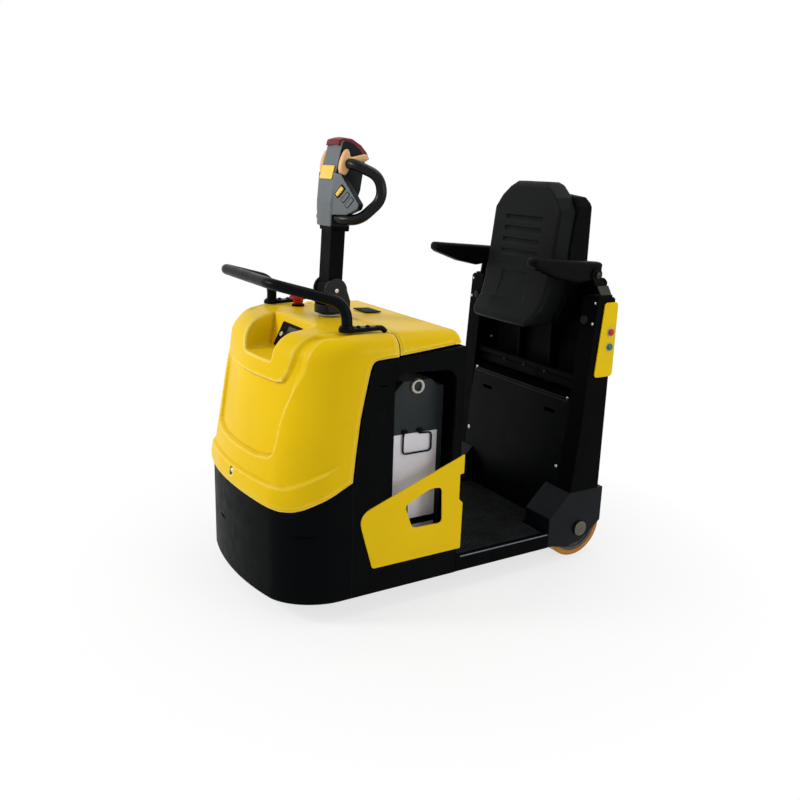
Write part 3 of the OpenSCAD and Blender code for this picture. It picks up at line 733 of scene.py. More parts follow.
NOSE_R, CORNER_R, SHOULDER_R = 1080, 140, 62
HINGE_Y = 252
LEAN, LEAN_Z = math.radians(10), 440
RISE, FALL = math.radians(2.1), math.radians(-7)
SHIELD = [(-600, 806), (200, 806), (229, 813), (251, 852), (262, 894), (262, 1300), (-600, 1300)]
RECESS = [
    (-600, 540), (157, 545), (227, 557), (246, 574), (254, 612), (257, 674), (272, 735), (290, 790),
    (316, 850), (321, 900), (321, 1300), (-600, 1300),
]
RECESS_DEPTH = 13
BAND_PROUD = 9
WALL_LEAN = 0.5
HOOD_SIDE = [
    (SPLIT_X, 1100), (SPLIT_X, 893), (927, 889), (941, 885), (950, 876), (958, 855), (972, 792), (991, 701),
    (1008, 566), (1016, 486), (1067, 462), (1138, 432), (1181, 411), (1210, 401), (1240, 397), (1270, 401),
    (1340, 420), (1340, 1100),
]
LID_SIDE = [
    (LID_REAR_X - 30, 919), (LID_REAR_X + 2, 919), (SPLIT_X - COVER_GAP, 897), (SPLIT_X - COVER_GAP, 1100),
    (LID_REAR_X - 30, 1100),
]


def plan_form(x, y, z):
    """The upright walls under the bodywork: a bowed nose between round corners."""
    nose = np.hypot(x - (NOSE_X - NOSE_R), y) - NOSE_R
    return round_and(np.abs(y) - HALF_W, nose, CORNER_R) + 0 * z


def body_form(x, y, z):
    """The bodywork's outer form: a nose that leans back, a crown with two slopes and round shoulders."""
    leant = NOSE_X + (x - NOSE_X) * math.cos(LEAN) + (z - LEAN_Z) * math.sin(LEAN)
    plan = plan_form(np.where(z > LEAN_Z, leant, x), y, z)
    rear = (z - CROWN_Z) * math.cos(RISE) - (x - CROWN_X) * math.sin(RISE)
    front = (z - CROWN_Z) * math.cos(FALL) - (x - CROWN_X) * math.sin(FALL)
    return round_and(plan, soft_and(rear, front, 12), SHOULDER_R)


def shield_relief(x, y, z):
    """How far the nose lies below the body's form round the raised shield and over the lower panel."""
    back = ramp((1095 - x) / 60)
    across = np.abs(y) - 32 * back
    width = 9 + 18 * ramp((z - 735) / 110)
    inside = -outline(across, z, RECESS)
    depth = RECESS_DEPTH * np.clip(inside / width, 0, 1) * (1 - 0.55 * back)
    past = outline(across, z, SHIELD)
    return depth * ramp(past / (8 + 9 * ramp((z - 800) / 40)))


def base_band(x, z):
    """How far the band along the lower border stands proud."""
    crease = 484 + 0.5 * np.maximum(1227 - x, 0)
    return BAND_PROUD * ramp((crease - z) / 12) * ramp((x - 1040) / 90)


def wall_x(z):
    """Where the pocket's back wall stands at a height."""
    return 1043 + WALL_LEAN * (966 - z)


def behind_wall(x, z):
    """How far a point stands behind the pocket's back wall."""
    return (wall_x(z) - x) / 1.118


def pocket(x, y, z):
    """The pocket in the top of the nose, with the display on its back wall."""
    floor = 862 - z
    left = -(y + 45 + 0.505 * (z - 876) + 0.493 * (1210 - x)) / 1.224
    right = y - 160 - 0.05 * (z - 870)
    walls = round_and(round_and(left, behind_wall(x, z), 5), right, 18)
    return round_and(walls, floor, 12)


def pocket_lip(x, y, z):
    """A low lip along the back edge of the pocket."""
    along = ramp((y + 150) / 30) * ramp((175 - y) / 30)
    return 5 * ramp((26 - np.abs(behind_wall(x, z) - 14)) / 12) * along * (z > 930)


def rolled_edge(gap):
    """How far the surface turns in beside its border."""
    return 4.5 * ramp((gap + 13) / 11)


def hood_form(x, y, z):
    border = outline(x, z, HOOD_SIDE)
    skin = body_form(x, y, z) + shield_relief(x, y, z) - base_band(x, z) - pocket_lip(x, y, z)
    return round_and(skin + rolled_edge(border), -pocket(x, y, z), 6)


def hood_border(x, y, z):
    hole = np.where(z > 900, 33 - np.hypot(x - TILLER[0], y), FAR_INSIDE)
    wide, tall = np.maximum(np.abs(y - LOCK_Y) - 11, 0), np.maximum(np.abs(z - LOCK_Z) - 13, 0)
    slot = np.where(x > NOSE_FROM_X, 4 - np.hypot(wide, tall), FAR_INSIDE)
    return np.maximum(outline(x, z, HOOD_SIDE), np.maximum(hole, slot))


def lid_form(x, y, z):
    border = outline(x, z, LID_SIDE)
    skin = body_form(x, y, z) + rolled_edge(np.where(x > LID_REAR_X + 30, border, FAR_INSIDE))
    return round_and(skin, LID_REAR_X - x, 14)


def lid_border(x, y, z):
    return outline(x, z, LID_SIDE)


def shell(name, form, border, low, high, step, thick, finish, body, slot, node):
    """A moulded shell: the skin of a form, cut at its border and thickened inwards."""
    thing = make(name, *trim(*skin_of(form, low, high, step), form, border, step))
    modifier(thing, "SOLIDIFY", thickness=thick * MM, offset=-1)
    paint(thing, finish)
    place(thing, body, slot, node)


def covers():
    """The hood and the battery's lid with its hinge knuckles, and the lock in the hood's base band."""
    low, high = (SPLIT_X - 4, -GRID_Y, 388), (NOSE_TO_X, GRID_Y, 984)
    shell("hood", hood_form, hood_border, low, high, 5.6, COVER_T,
          "yellow", "chassis", "yellow_cover", "front_cover")
    low, high = (LID_REAR_X - 8, -GRID_Y, 886), (SPLIT_X + 2, GRID_Y, 984)
    shell("battery_lid", lid_form, lid_border, low, high, 4.6, COVER_T,
          "yellow", "battery_lid", "yellow_cover", "battery_cover")
    hinge = from_frame(PIVOT["lid_hinge"])
    eye = turned([(8, 0), (8, 24), (5.2, 24), (5.2, 0)], hinge + (0, HINGE_Y, 0), Y, 28)
    leaf = plate(rectangle(0, 0, 24, 24), hinge + (0, HINGE_Y, 2), X, Y, 6)
    piece("lid_knuckles", both_sides(joined(eye, leaf)), "dark", "yellow_cover", body="battery_lid", edge=0)
    piece("lock_plate", tile(40, 40, 4, (LOCK_X, LOCK_Y, LOCK_Z), Y, Z, 3), "lock", "yellow_cover", edge=0.6)
    barrel = [(8, 0), (8, 6), (6, 8), (2, 8), (2, 6), (0, 6)]
    barrel = turned(barrel, (LOCK_X + 1, LOCK_Y, LOCK_Z), X, 28)
    piece("lock_barrel", barrel, "zinc", "bare_metal", edge=0)


# Black side panels and front skirt, yellow guards


(PANEL_REAR_X, _, _), (PANEL_FRONT_X, _, PANEL_TOP_Z) = box_mm("side_panels")
PANEL_FRONT_TOP = (PANEL_FRONT_X, 481)
SLOT_X, SLOT_Z = 910, 802
SKIRT_SLOT_Y, SKIRT_SLOT_Z = -97, 240
SKIRT_T = 12
WINDOW = [(869, 170), (869, 812), (853, 825), (823, 839), (646, 832), (623, 802), (623, 170)]
GUARD = [
    (940, 166), (998, 368), (576, 522), (576, 451), (592, 450), (592, 355), (576, 342), (578, 166),
]
GUARD_HOLE = [(716, 417), (668, 415), (662, 281), (785, 284), (817, 371)]


def below_hood(spots):
    """Points of the hood's border, moved down and back by the gap beside the hood."""
    return [(x - COVER_GAP, z - COVER_GAP) for x, z in spots]


def side_panels():
    crest = [s for s in HOOD_SIDE if SPLIT_X < s[0] < PANEL_FRONT_X and s[1] < 1000]
    outer = [
        (PANEL_FRONT_X, FLOOR_GAP), (PANEL_REAR_X, FLOOR_GAP), (PANEL_REAR_X, PANEL_TOP_Z),
        (SPLIT_X, 888), *below_hood(crest), PANEL_FRONT_TOP,
    ]
    small_slot = [(SLOT_X + u, SLOT_Z + v) for u, v in rounded_box(24, 7, 3.4)]
    near = pierced(outer, [eased(WINDOW, 9), small_slot], HALF_W - SKIRT_T, HALF_W)
    piece("side_plates", both_sides(near), "dark", "dark_steel", "side_panels", edge=1.6, outwards=True)
    back = tile(60, 30, 4, (SLOT_X, HALF_W - SKIRT_T, SLOT_Z), X, Z, 3)
    piece("slot_backs", both_sides(back), "black", "black_steel", edge=0.6, outwards=True)


def skirt_border(x, y, z):
    line = below_hood([s for s in HOOD_SIDE if PANEL_FRONT_X < s[0] and s[1] < 1000])
    side = [(PANEL_FRONT_X, FLOOR_GAP), (1340, FLOOR_GAP), *line[::-1], PANEL_FRONT_TOP]
    wide = np.maximum(np.abs(y - SKIRT_SLOT_Y) - 23, 0)
    slot = np.where(x > NOSE_FROM_X, 6.5 - np.hypot(wide, z - SKIRT_SLOT_Z), FAR_INSIDE)
    return np.maximum(outline(x, z, side), slot)


def front_skirt():
    low, high = (PANEL_FRONT_X - 6, -GRID_Y, FLOOR_GAP - 10), (NOSE_TO_X, GRID_Y, 496)
    shell("nose_skirt", plan_form, skirt_border, low, high, 6, SKIRT_T,
          "skirt", "chassis", "black_steel", "front_skirt")


def guards():
    outer = eased(GUARD, [9, 52, 5, 4, 4, 7, 7, 5], 9)
    near = pierced(outer, [eased(GUARD_HOLE, 18, 7)], HALF_W, box_mm("guards")[1][1])
    piece("side_guards", both_sides(near), "plate", "yellow_cover", "guards", edge=1.1, outwards=True)


# Seat and armrests


SEAT_W = box_mm("seat_pad")[1][1] - box_mm("seat_pad")[0][1]
SEAT_TOP = box_mm("seat_pad")[1][2]
GROOVES_Z = (1313, 1269, 1224, 1179)
SEAT_SIDE = [
    (152, 900), (160, 912), (156, 934), (112, 992), (92, 1060), (79, 1135), (56, 1313), (42, 1425),
    (22, SEAT_TOP), (-30, SEAT_TOP), (-50, SEAT_TOP - 14), (-14, 1190), (-8, 1010), (40, 905), (90, 897),
]


def seat_front():
    w, top = SEAT_W / 2, SEAT_TOP
    half = [(w - 30, 885), (w - 6, 960), (w, 1100), (w - 4, top - 110), (w - 40, top - 60), (95, top)]
    return half + [(-u, v) for u, v in reversed(half)]


def seat_face_x(z):
    spots = [s for s in SEAT_SIDE if s[0] > 20][1:9]
    return np.interp(z, [s[1] for s in spots], [s[0] for s in spots])


def seat_grooves(y, z):
    """Four louvre-like steps: a crisp edge above, running out below."""
    depth = 0
    for top in GROOVES_Z:
        width = ramp((114 - np.abs(y)) / 4)
        depth = depth + 8.5 * width * ramp((top - z) / 3.6) * ramp((z - top + 25) / 20)
    return depth


def seat_recess(y, z):
    """The shallow hollow above the lip."""
    half = 80 + 0.1 * (1098 - z)
    return 5 * ramp((half - np.abs(y)) / 6) * ramp((1098 - z) / 5) * ramp((z - 940) / 90)


def seat_form(x, y, z):
    crown = 5 * (y / 200) ** 2 * ramp((x - 20) / 60)
    face = ramp((x - seat_face_x(z) + 40) / 20)
    relief = (seat_grooves(y, z) + seat_recess(y, z)) * face
    side = outline(x, z, SEAT_SIDE, 9) + crown + relief
    sides = outline(np.abs(y) + 0.08 * np.maximum(x, 0), z, seat_front(), 20)
    return round_and(side, sides, 16)


def seat():
    low, high = box_mm("seat_pad")
    skin = skin_of(seat_form, low - 6, high + (18, 6, 6), 3.6)
    piece("seat_cushion", skin, "seat", "seat_foam", "seat_pad")


ARM_SIDE = [
    (-57, 1156), (-53, 1114), (-19, 1095), (54, 1086), (153, 1107), (258, 1146), (272, 1158), (272, 1177),
    (262, 1188), (-50, 1164),
]


def armrest_form(side):
    low, high = box_mm("armrest_left")
    middle = (low[1] + high[1]) / 2
    half = (high[1] - low[1]) / 2

    def form(x, y, z):
        across = np.abs(side * y - middle)
        belly = 5 * (across / half) ** 2
        seam = 2.2 * ramp(1 - np.abs(x - 236) / 3)
        section = round_and(outline(x, z, ARM_SIDE, 8) + belly, across - half, 11) + seam
        bore = 9 - np.hypot(x - ARM_PIVOT[0], z - ARM_PIVOT[2]) - 30 * (side * y < middle)
        return np.maximum(section, bore)

    return form


def armrests():
    for name, body, side in (("armrest_left", "arm_left", 1), ("armrest_right", "arm_right", -1)):
        low, high = box_mm(name)
        skin = skin_of(armrest_form(side), low - 5, high + 5, 3)
        piece(name + "_pad", skin, "arm", "seat_foam", name, body=body)


# Tiller: u forwards, v to the left and w up along it, from its tilt axis


HEAD_SIDE = [
    (40, 218), (44, 300), (36, 375), (13, 495), (2, 505), (-30, 499), (-58, 480), (-82, 452), (-70, 345),
    (-38, 246), (-36, 218),
]
WING = [(-10, 258), (56, 261), (102, 282), (109, 299), (26, 392), (-10, 400)]
WING_TURN, KEY_TURN = math.radians(24), math.radians(-42)
HEAD_HALF = 54
WING_U, WING_HALF_T = 23, 14


def on_tiller(shape):
    """A shape in the tiller's own directions, brought to where the tiller stands."""
    p, f = shape
    p = np.asarray(p, float)
    c, s = math.cos(TILLER_LEAN), math.sin(TILLER_LEAN)
    u, v, w = p[:, 0], p[:, 1], p[:, 2]
    return np.stack([TILLER[0] + u * c - w * s, v, TILLER[2] + u * s + w * c], 1), f


def head_form(u, v, w):
    core = round_and(outline(u, w, HEAD_SIDE, 5), np.abs(v) - HEAD_HALF, 7)
    across = (np.abs(v) - HEAD_HALF) * math.cos(WING_TURN) - (u - WING_U) * math.sin(WING_TURN)
    out = (np.abs(v) - HEAD_HALF) * math.sin(WING_TURN) + (u - WING_U) * math.cos(WING_TURN)
    wing = round_and(outline(across, w, WING, 8), np.abs(out) - WING_HALF_T, 4)
    return round_or(core, wing, 5)


def thumb_form(u, v, w):
    """A butterfly control: an upright paddle in front and a lobe behind."""
    tilt = (u - 7) + 0.12 * (w - 432)
    half = 18 - 0.1 * (w - 432)
    paddle = (np.sqrt((tilt / half) ** 2 + ((w - 432) / 43) ** 2) - 1) * 18
    lobe = capsule(u, 0 * v, w, (-4, 0, 440), (-66, 0, 452), 7, 12)
    flat = round_or(paddle, lobe, 9)
    return round_and(flat, np.abs(np.abs(v) - 70) - 13, 9)


CAP = [
    (16, 496), (14, 504), (0, 509), (-30, 508), (-62, 492), (-84, 471), (-92, 456), (-84, 451), (-58, 477),
    (-30, 494), (2, 500),
]


def cap_form(u, v, w):
    curve = 4 * (v / 46) ** 2
    return round_and(outline(u, w + curve, CAP[::-1], 3), np.abs(v) - 49, 7)


def tiller_head():
    points, faces = skin_of(head_form, (-90, -172, 212), (50, 172, 504), 3)
    head = make("steering_head", *on_tiller((points, faces)))
    paint(head, "grey")
    paint(head, "darkgrey")
    corners = points[faces]
    normal = np.cross(corners[:, 2] - corners[:, 0], corners[:, 3] - corners[:, 1])
    rearward = normal[:, 0] < 0.45 * np.linalg.norm(normal, axis=1)
    head.data.polygons.foreach_set("material_index", rearward.astype(int))
    place(head, "tiller", "grey_plastic", "tiller_head")
    cap = on_tiller(skin_of(cap_form, (-104, -56, 410), (24, 56, 520), 2.4))
    piece("safety_cap", cap, "belly", "red_plastic", "belly_button", body="tiller")
    thumbs = on_tiller(skin_of(thumb_form, (-86, -92, 382), (36, 92, 482), 2.6))
    piece("thumb_controls", thumbs, "orange", "orange_plastic", "thumb_wheels", body="tiller")


LOOP_R = 18
LOOP = [
    ((-6, 70, 428), 0), ((-8, 112, 428), 26), ((-72, 174, 394), 36), ((-86, 178, 322), 36),
    ((-24, 140, 248), 36), ((4, 94, 246), 18), ((14, 50, 246), 0),
]


def steering_yoke():
    """Two cheeks on a round base, the spindle below and a cap on each end of the tilt axis."""
    low, high = box_mm("steering_yoke")
    out_y = high[1]
    x, _, z = TILLER
    cheek_r, cheek_t, base_r, base_t = 43, 10, 55, 30
    base_z = z - 80
    foot = [(-43, 0), (-56, -38), (-56, -62), (-36, -78), (30, -78), (38, -45)]
    cheek = arc(cheek_r, 0, 181, 12, (x, z)) + [(x + u, z + v) for u, v in foot]
    blade = pierced(cheek, [], out_y - cheek_t, out_y)
    block = [(u, np.clip(v, 1 - out_y, out_y - 1)) for u, v in arc(base_r, 0, 360, 10, (x, 0))]
    base = plate(block, (0, 0, base_z), X, Y, base_t)
    spindle = turned([(20, low[2] - base_z), (20, 4)], (x, 0, base_z), Z)
    yoke = joined(both_sides(blade), base, spindle)
    body = "steering_head"
    piece("yoke", yoke, "grip", "black_steel", "steering_yoke", body=body, edge=2.5, outwards=True)
    caps = [turned([(8, 0), (8, 3), (6, 4.5), (0, 4.5)], (x, s * out_y, z), (0, s, 0)) for s in SIDES]
    piece("pivot_caps", joined(*caps), "steel", "bare_metal", body=body, edge=0)


def tiller_loops():
    near = on_tiller(tube(route(LOOP, 5), LOOP_R, 28))
    piece("hand_loops", both_sides(near), "grip", "black_plastic", "tiller_loops", body="tiller")


def wing_spot(across, w):
    """A point on the left wing's front face."""
    c, s = math.cos(WING_TURN), math.sin(WING_TURN)
    return np.array([WING_U - across * s + WING_HALF_T * c, HEAD_HALF + across * c + WING_HALF_T * s, w])


def wing_plate(across, w, width, height, thick, r=3):
    """A raised rounded plate on the left wing, turned in the wing's plane."""
    side = unit(wing_spot(1, 0) - wing_spot(0, 0))
    up = np.array(Z)
    a = side * math.cos(KEY_TURN) + up * math.sin(KEY_TURN)
    b = -side * math.sin(KEY_TURN) + up * math.cos(KEY_TURN)
    if np.cross(a, b)[0] < 0:
        a = -a
    return tile(width, height, r, wing_spot(across, w), a, b, thick)


def tiller_buttons():
    """The rocker in its frame and two keys in their rims on the left wing, and the head's front patch."""
    spots = ((50, 319), (68, 303))
    rows = (
        ("rocker_frame", [wing_plate(26, 337, 22, 46, 2)], "shell", "black_plastic", 0.8),
        ("rocker", [wing_plate(27, 337, 13, 36, 7)], "patch", "orange_plastic", 1.6),
        ("wing_key_rims", [wing_plate(*spot, 17, 41, 1, 5) for spot in spots], "shell", "black_plastic", 0),
        ("wing_keys", [wing_plate(*spot, 13, 37, 2, 4) for spot in spots], "grey", "grey_plastic", 0.7),
        ("head_patch", [tile(92, 46, 6, (33.5, 0, 397), Y, unit((-0.2, 0, 1)), 4)],
         "patch", "orange_plastic", 1.2),
    )
    for name, shapes, finish, slot, edge in rows:
        piece(name, on_tiller(joined(*shapes)), finish, slot, body="tiller", edge=edge)


def tiller_arm():
    dress(NODES["tiller_arm"], "dark", 4)
    collar = [(30, 204), (34, 240), (-38, 240), (-38, 204)]

    def form(u, v, w):
        return round_and(outline(u, w, collar, 4), np.abs(v) - 50 - 0.08 * (w - 204), 8)

    boot = on_tiller(skin_of(form, (-46, -64, 196), (42, 64, 248), 2.6))
    piece("tiller_collar", boot, "shell", "black_plastic", body="tiller")


# Hand rail, screws and small pieces


RAIL_R = 18
RAIL = [
    ((1000, 307, 984), 0), ((1000, 300, 1062), 55), ((1219, 232, 1122), 66), ((1219, -232, 1122), 66),
    ((1000, -300, 1062), 55), ((1000, -307, 984), 0),
]


def hand_rail():
    """The rail's tube and its two feet, each a pad with a collar and a tab that turns down."""
    piece("rail_tube", tube(route(RAIL, 7), RAIL_R, 28), "rail", "black_steel", "hand_rail")
    spots = arc(25, -90, 91, 15, (1004, 309)) + arc(13, 90, 271, 15, (890, 318))
    pad = plate(spots, (0, 0, 972), X, Y, 13)
    ring = turned([(25, 984), (25, 988), (22, 991), (16, 991)], (1000, 307, 0), Z)
    tab = tube(route([((902, 319, 979), 0), ((880, 322, 979), 8), ((868, 324, 966), 0)], 4), 9, 16)
    piece("rail_feet", both_sides(joined(pad, ring, tab)), "rail", "black_steel", edge=3)


def screws():
    """Every screw that shows, in rows of spot, direction and head radius, and the latch knobs."""
    rows = [((930 + dx, side * 316, 985), Z, 7) for dx in (0, 34) for side in SIDES]
    piece("rail_screws", bolts(rows), "rail", "black_steel", edge=0)
    lean = (1, 0, 0.1)
    rows = [((25, side * 297, 636), lean, 5) for side in SIDES]
    rows += [((54, side * 296, 362), lean, 5.5) for side in SIDES]
    rows += [((x, side * 384, z), lean, 4) for x, z in ((5, 1020), (12, 942)) for side in SIDES]
    rows += [((-58, side * 316, z), (0, -side, 0), 5) for z in (765, 703) for side in SIDES]
    piece("zinc_screw_heads", bolts(rows), "zinc", "bare_metal", edge=0)
    rows = [((ARM_PIVOT[0], side * 363, ARM_PIVOT[2]), (0, side, 0), 8) for side in SIDES]
    piece("pivot_screws", bolts(rows), "strap", "dark_steel", edge=0)
    latch = turned([(17, 0), (17, 9), (14, 13), (0, 13)], (9, 342, 952), (1, 0, 0.06), 36)
    piece("latch_knobs", both_sides(latch), "edges_rubbed_and_sheened", "dark_steel", edge=0, outwards=True)


def emergency_stop():
    low, high = box_mm("emergency_stop")
    spot = (*((low + high) / 2)[:2], low[2])
    knob = [
        (17, 0), (17, 16), (20, 22), (30, 24), (33, 28), (33, 33), (29, 39), (20, 43), (8, 45), (0, 45.5),
    ]
    piece("stop_mushroom", turned(knob, spot, Z, 48), "red", "red_plastic", "emergency_stop")
    ring = turned([(24, -2), (24, 3), (22, 5), (16, 5)], spot, Z, 48)
    piece("stop_collar", ring, "shell", "black_plastic", edge=0)


def display():
    """Dark instrument panel on the pocket's back wall, with a key switch."""
    up = unit((-WALL_LEAN, 0, 1))
    out = np.cross(Y, up)
    z = 906
    middle = np.array([wall_x(z), 10, z])
    panel = tile(160, 92, 6, middle - out * 2, Y, up, 5)
    piece("display_panel", panel, "shell", "black_plastic", "instrument_panel", edge=1.2)
    screen = tile(84, 50, 4, middle + (0, 24, 0) + up * 10 + out * 3, Y, up, 1.5)
    piece("display_screen", screen, "glass", "black_plastic", edge=0.6)
    key = [(9, 0), (9, 5), (7, 7), (2.5, 7), (2.5, 5.5), (0, 5.5)]
    key = turned(key, middle - (0, 46, 0) + out * 3, out)
    piece("key_switch", key, "zinc", "bare_metal", edge=0)


def push_buttons():
    for node, colour in (("stop_button", "red"), ("start_button", "green")):
        low, high = box_mm(node)
        spot = ((low[0] + high[0]) / 2, low[1], (low[2] + high[2]) / 2)
        cap = turned([(12.5, 1.5), (12.5, 7), (11.5, 8.5), (4, 9.2), (0, 9.3)], spot, Y)
        piece(node + "_cap", cap, colour, colour + "_plastic", node)
        ring = turned([(17, 0), (17, 2), (15.5, 3.5), (13, 3.5), (13, 1)], spot, Y)
        piece(node + "_ring", ring, "steel", "bare_metal", edge=0)


def mat():
    """Ribbed rubber mat on the platform, narrow between the wheel boxes."""
    low, high = box_mm("platform_mat")
    boxed = box_mm("wheel_boxes")[1][0] + 12
    narrow, pitch, rib, tall, sunk = 238, 16, 9, 3, 0.2
    base = [
        (low[0], -narrow), (boxed, -narrow), (boxed, low[1]), (high[0], low[1]), (high[0], high[1]),
        (boxed, high[1]), (boxed, narrow), (low[0], narrow),
    ]
    shapes = [plate(base, (0, 0, low[2]), X, Y, high[2] - low[2] - tall)]
    for k in range(int((high[0] - low[0] - 16) / pitch)):
        x = low[0] + 10 + k * pitch
        half = (narrow if x < boxed + 4 else high[1]) - 8
        spots = rectangle(x, -half, x + rib, half)
        shapes.append(plate(spots, (0, 0, high[2] - tall - sunk), X, Y, tall + sunk))
    piece("ribbed_mat", joined(*shapes), "mat", "mat_rubber", "platform_mat", edge=1)


def battery():
    """The battery's case, chamfered in front and stepped behind, with its lifting rings."""
    low, high = box_mm("battery")
    top = high[2]
    side = [
        (low[0], low[2]), (high[0], low[2]), (high[0], top - 34), (high[0] - 34, top), (low[0] + 53, top),
        (low[0] + 27, top - 24), (low[0], top - 27),
    ]
    case = pierced(side, [], low[1], high[1])
    piece("battery_case", case, "battery", "battery_grey", "battery", edge=3, outwards=True)
    spot = ((low[0] + high[0]) / 2 + 11, high[1], top - 20)
    sides = 40
    points, faces = turned([(15, 0), (27, 0), (27, 7), (24, 10), (18, 10), (15, 7)], spot, Y, sides)
    last = len(points) - sides
    faces = [face for face in faces if len(face) == 4]
    faces += [(last + k, last + (k + 1) % sides, (k + 1) % sides, k) for k in range(sides)]
    rings = both_sides((points, faces))
    piece("lifting_rings", rings, "steel", "bare_metal", "battery_fittings", edge=0, outwards=True)


def battery_details():
    """Blank labels, the wire bail and its clips on the battery's left face."""
    low, high = box_mm("battery")
    face_y, middle = high[1], (low[0] + high[0]) / 2
    back = (-1, 0, 0)
    label = tile(176, 223, 3, (middle + 11, face_y, 486), back, Z, 0.8)
    low_label = tile(110, 170, 3, (middle - 22, face_y, 290), back, Z, 0.8)
    piece("blank_labels", joined(label, low_label), "label", "battery_grey", edge=0)
    band = tile(190, 24, 2, (middle, face_y + 0.8, 268), back, Z, 4)
    piece("battery_band", band, "black", "dark_steel", edge=1)
    y = face_y + 7
    stops = [
        ((778, y, 612), 0), ((783, y, 590), 4), ((783, y, 527), 14), ((668, y, 527), 14),
        ((668, y, 594), 14), ((720, y + 2, 598), 4), ((724, y, 608), 0),
    ]
    clips = [tile(20, 12, 3, (x, face_y, 607), back, Z, 9) for x in (776, 714)]
    piece("wire_bail", joined(tube(route(stops, 3), 3.2, 12), *clips), "rail", "dark_steel", edge=0)


def axle_caps():
    """Turned caps on the ends of the rear axle stubs."""
    spot = (0, box_mm("rear_beam")[1][1], from_frame(PIVOT["rear_spin_left"])[2])
    cap = turned([(29.5, -6), (29.5, 0), (27.5, 1.6), (9, 1.6), (8, 0.4), (5, 0.2), (0, 0.2)], spot, Y, 48)
    piece("axle_caps", both_sides(cap), "cap", "bare_metal", edge=0)


def kick_details():
    """Two folded strips across the kick panel, knobs on the bar above and the platform's rubbed edges."""
    half = box_mm("kick_panel")[1][1] - 8
    lean = unit((-0.09, 0, 1))
    strips = [
        plate(rectangle(-half, 0, half, tall), (27.5, 0, 622) + lean * rise, Y, lean, 2.5)
        for rise, tall in ((0, 5), (12, 4))
    ]
    piece("kick_strips", joined(*strips), "edges_rubbed_and_sheened", "dark_steel", edge=0.8)
    knob = [(7, 0), (7, 3), (5, 5), (0, 5)]
    knobs = [turned(knob, (5, y, 706), (1, 0, 0.3), 20) for y in (-130, 0, 130)]
    piece("bar_knobs", joined(*knobs), "edges_rubbed_and_sheened", "dark_steel", edge=0)
    strip = rectangle(162, 127, 573, 132)
    edges = [plate(strip, (0, side * (HALF_W + 1) + 1, 0), X, Z, 2.5) for side in SIDES]
    piece("platform_edges", joined(*edges), "edge", "dark_steel", edge=0.8)


def seat_back_shell():
    """The moulded shell behind the cushion, and the cross member between the columns' tops."""
    _, half, top = box_mm("seat_shell")[1]
    side = [
        (-36, 918), (-60, 1010), (-84, 1150), (-84, top - 42), (-74, top - 24), (-58, top - 18),
        (-49, top - 21), (-15, 1190), (-9, 1008), (26, 918),
    ]
    front = [
        (0, 890), (half - 24, 890), (half, 970), (half, top - 52), (half - 24, top - 16), (90, top),
        (0, top),
    ]

    def form(x, y, z):
        return round_and(outline(x, z, side, 8), outline(np.abs(y), z, front, 10), 10)

    skin = skin_of(form, (-120, -half - 6, 908), (34, half + 6, top + 6), 4)
    piece("seat_back_shell", skin, "shell", "black_plastic", "seat_shell")
    foot_z = box_mm("columns")[1][2]
    spots = [(-342, -22), (342, -22), (342, 50), (326, 62), (-326, 62), (-342, 50)]
    member = plate(spots, (-88, 0, foot_z), Y, Z, 14)
    piece("seat_cross_member", member, "black", "black_steel", edge=3, outwards=True)


def arm_brackets():
    """Leaning brackets that carry the armrests, each bent out to a foot on its column."""
    inner, foot_z = box_mm("armrest_left")[1][1] + 1, box_mm("columns")[1][2]
    thick, wide, bend_z = 8, 54, foot_z + 36
    x, _, z = ARM_PIVOT
    foot_x = x - 52
    side = arc(24, -30, 211, 15, (x, z)) + [(foot_x, bend_z), (foot_x + wide, bend_z)]
    blade = pierced(side, [], inner, inner + thick)
    drop = np.array([-8, 16, foot_z - bend_z])
    spots = rectangle(0, 0, wide, np.linalg.norm(drop))
    strap = plate(spots, (foot_x, inner + thick, bend_z), X, unit(drop), thick)
    base = tile(68, 42, 6, (-42, inner + 19, foot_z), X, Y, 7)
    pin = turned([(8, -50), (8, 12), (6.5, 14), (0, 14)], (x, inner, z), Y)
    dark = both_sides(joined(blade, base, pin))
    piece("armrest_brackets", dark, "arm", "dark_steel", "arm_brackets", edge=1.4, outwards=True)
    piece("bracket_straps", both_sides(strap), "strap", "dark_steel", edge=1.2, outwards=True)


def carried_over():
    """Materials and edge radii of the CAD nodes that stay."""
    table = [
        ("black", 2.0, ("bulkhead", "drive_frame", "rear_beam", "rear_panel", "columns")),
        ("kick", 2.0, ("kick_panel",)),
        ("dark", 2.0, ("seat_post", "cross_bar")),
        ("box", 2.5, ("wheel_boxes",)),
        ("black", 2.5, ("floor_pan",)),
        ("dark", 2.0, ("tow_jaw", "drive_unit")),
        ("mat", 1.5, ("cover_pad",)),
        ("flange", 1.2, ("bearing_flange",)),
        ("plate", 1.0, ("button_plate",)),
        ("cast", 1.2, ("drive_hub", "rear_hub_left", "rear_hub_right")),
        ("tyre", 1.5, ("drive_tyre", "rear_tyre_left", "rear_tyre_right")),
    ]
    for finish, width, names in table:
        for name in names:
            dress(NODES[name], finish, width)


# Stage, light and camera


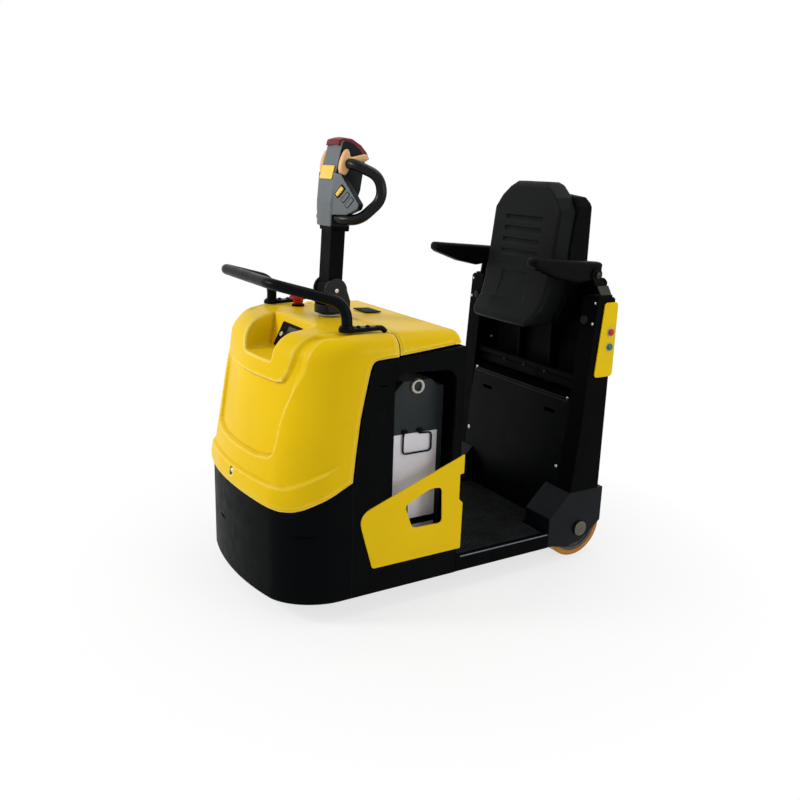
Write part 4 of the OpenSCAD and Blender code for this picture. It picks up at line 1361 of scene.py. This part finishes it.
def stage():
    """A pale floor that keeps the shadow near the machine and fades to white away from it."""
    radius, sides, sunk = 9000, 96, -0.5
    turn = np.linspace(0, 2 * np.pi, sides, endpoint=False)
    ring = [(radius * math.cos(t), radius * math.sin(t), sunk) for t in turn]
    floor = make("floor", ring, [tuple(range(sides))])
    s = Surface("pale_floor", Roughness=0.9, Specular_IOR_Level=0.0, Base_Color=(0.94, 0.94, 0.94, 1))
    away = s.add("VectorMath", {"operation": "LENGTH"}, Vector=s.spot).outputs["Value"]
    fade = s.levels(away, 0.6, 1.4, 0.72, 1.0)
    white = s.add("Emission", Color=(1, 1, 1, 1), Strength=1.0).outputs[0]
    blend = s.add("MixShader")
    s.put(blend.inputs[0], s.math("MULTIPLY", fade, s.seen_straight()))
    s.put(blend.inputs[1], s.shader.outputs[0])
    s.put(blend.inputs[2], white)
    s.put(s.tree.nodes["Material Output"].inputs["Surface"], blend.outputs[0])
    floor.data.materials.append(s.made)


AMBIENT = 0.43


def world():
    """A white room for the camera that lights the machine by AMBIENT only."""
    made = bpy.data.worlds.new("white_room")
    bpy.context.scene.world = made
    made.use_nodes = True
    nodes = Nodes(made.node_tree)
    shader = nodes.tree.nodes["Background"]
    nodes.put(shader.inputs["Color"], (1, 1, 1, 1))
    nodes.put(shader.inputs["Strength"], nodes.levels(nodes.seen_straight(), 0.0, 1.0, AMBIENT))


def lamp(name, spot, target, size, power):
    data = bpy.data.lights.new(name, "AREA")
    data.shape = "DISK"
    data.size = size
    data.energy = power
    thing = linked(name, data)
    thing.location = spot
    thing.rotation_euler = (Vector(target) - Vector(spot)).to_track_quat("-Z", "Y").to_euler()


def lights():
    lamp("key", (3.9, -1.3, 2.6), (0.2, 0, 0.7), 1.1, 92)
    lamp("top", (-0.8, 0.4, 4.1), (0, 0, 0.6), 2.2, 34)
    lamp("side", (-1.6, 3.8, 1.7), (0, 0, 0.6), 1.6, 34)


CAMERA_AT = (1.7335, 2.7215, 1.4950)
CAMERA_TURN = (1.30386849, -0.02925902, 2.59963315)
CAMERA_LENS = 38.84


def camera():
    """The photograph's viewpoint, solved from the bodywork's edges."""
    data = bpy.data.cameras.new("camera")
    data.lens = CAMERA_LENS
    data.sensor_width = 36
    thing = linked("camera", data)
    thing.matrix_world = Matrix.LocRotScale(Vector(CAMERA_AT), Euler(CAMERA_TURN), None)
    bpy.context.scene.camera = thing


for build in (
    camera, covers, side_panels, front_skirt, guards, seat, armrests, tiller_head, steering_yoke,
    tiller_loops, tiller_buttons, tiller_arm, hand_rail, screws, emergency_stop, display, push_buttons,
    mat, battery, battery_details, axle_caps, kick_details, seat_back_shell, arm_brackets, carried_over,
    stage, world, lights,
):
    build()
bpy.context.scene.view_settings.view_transform = "Standard"
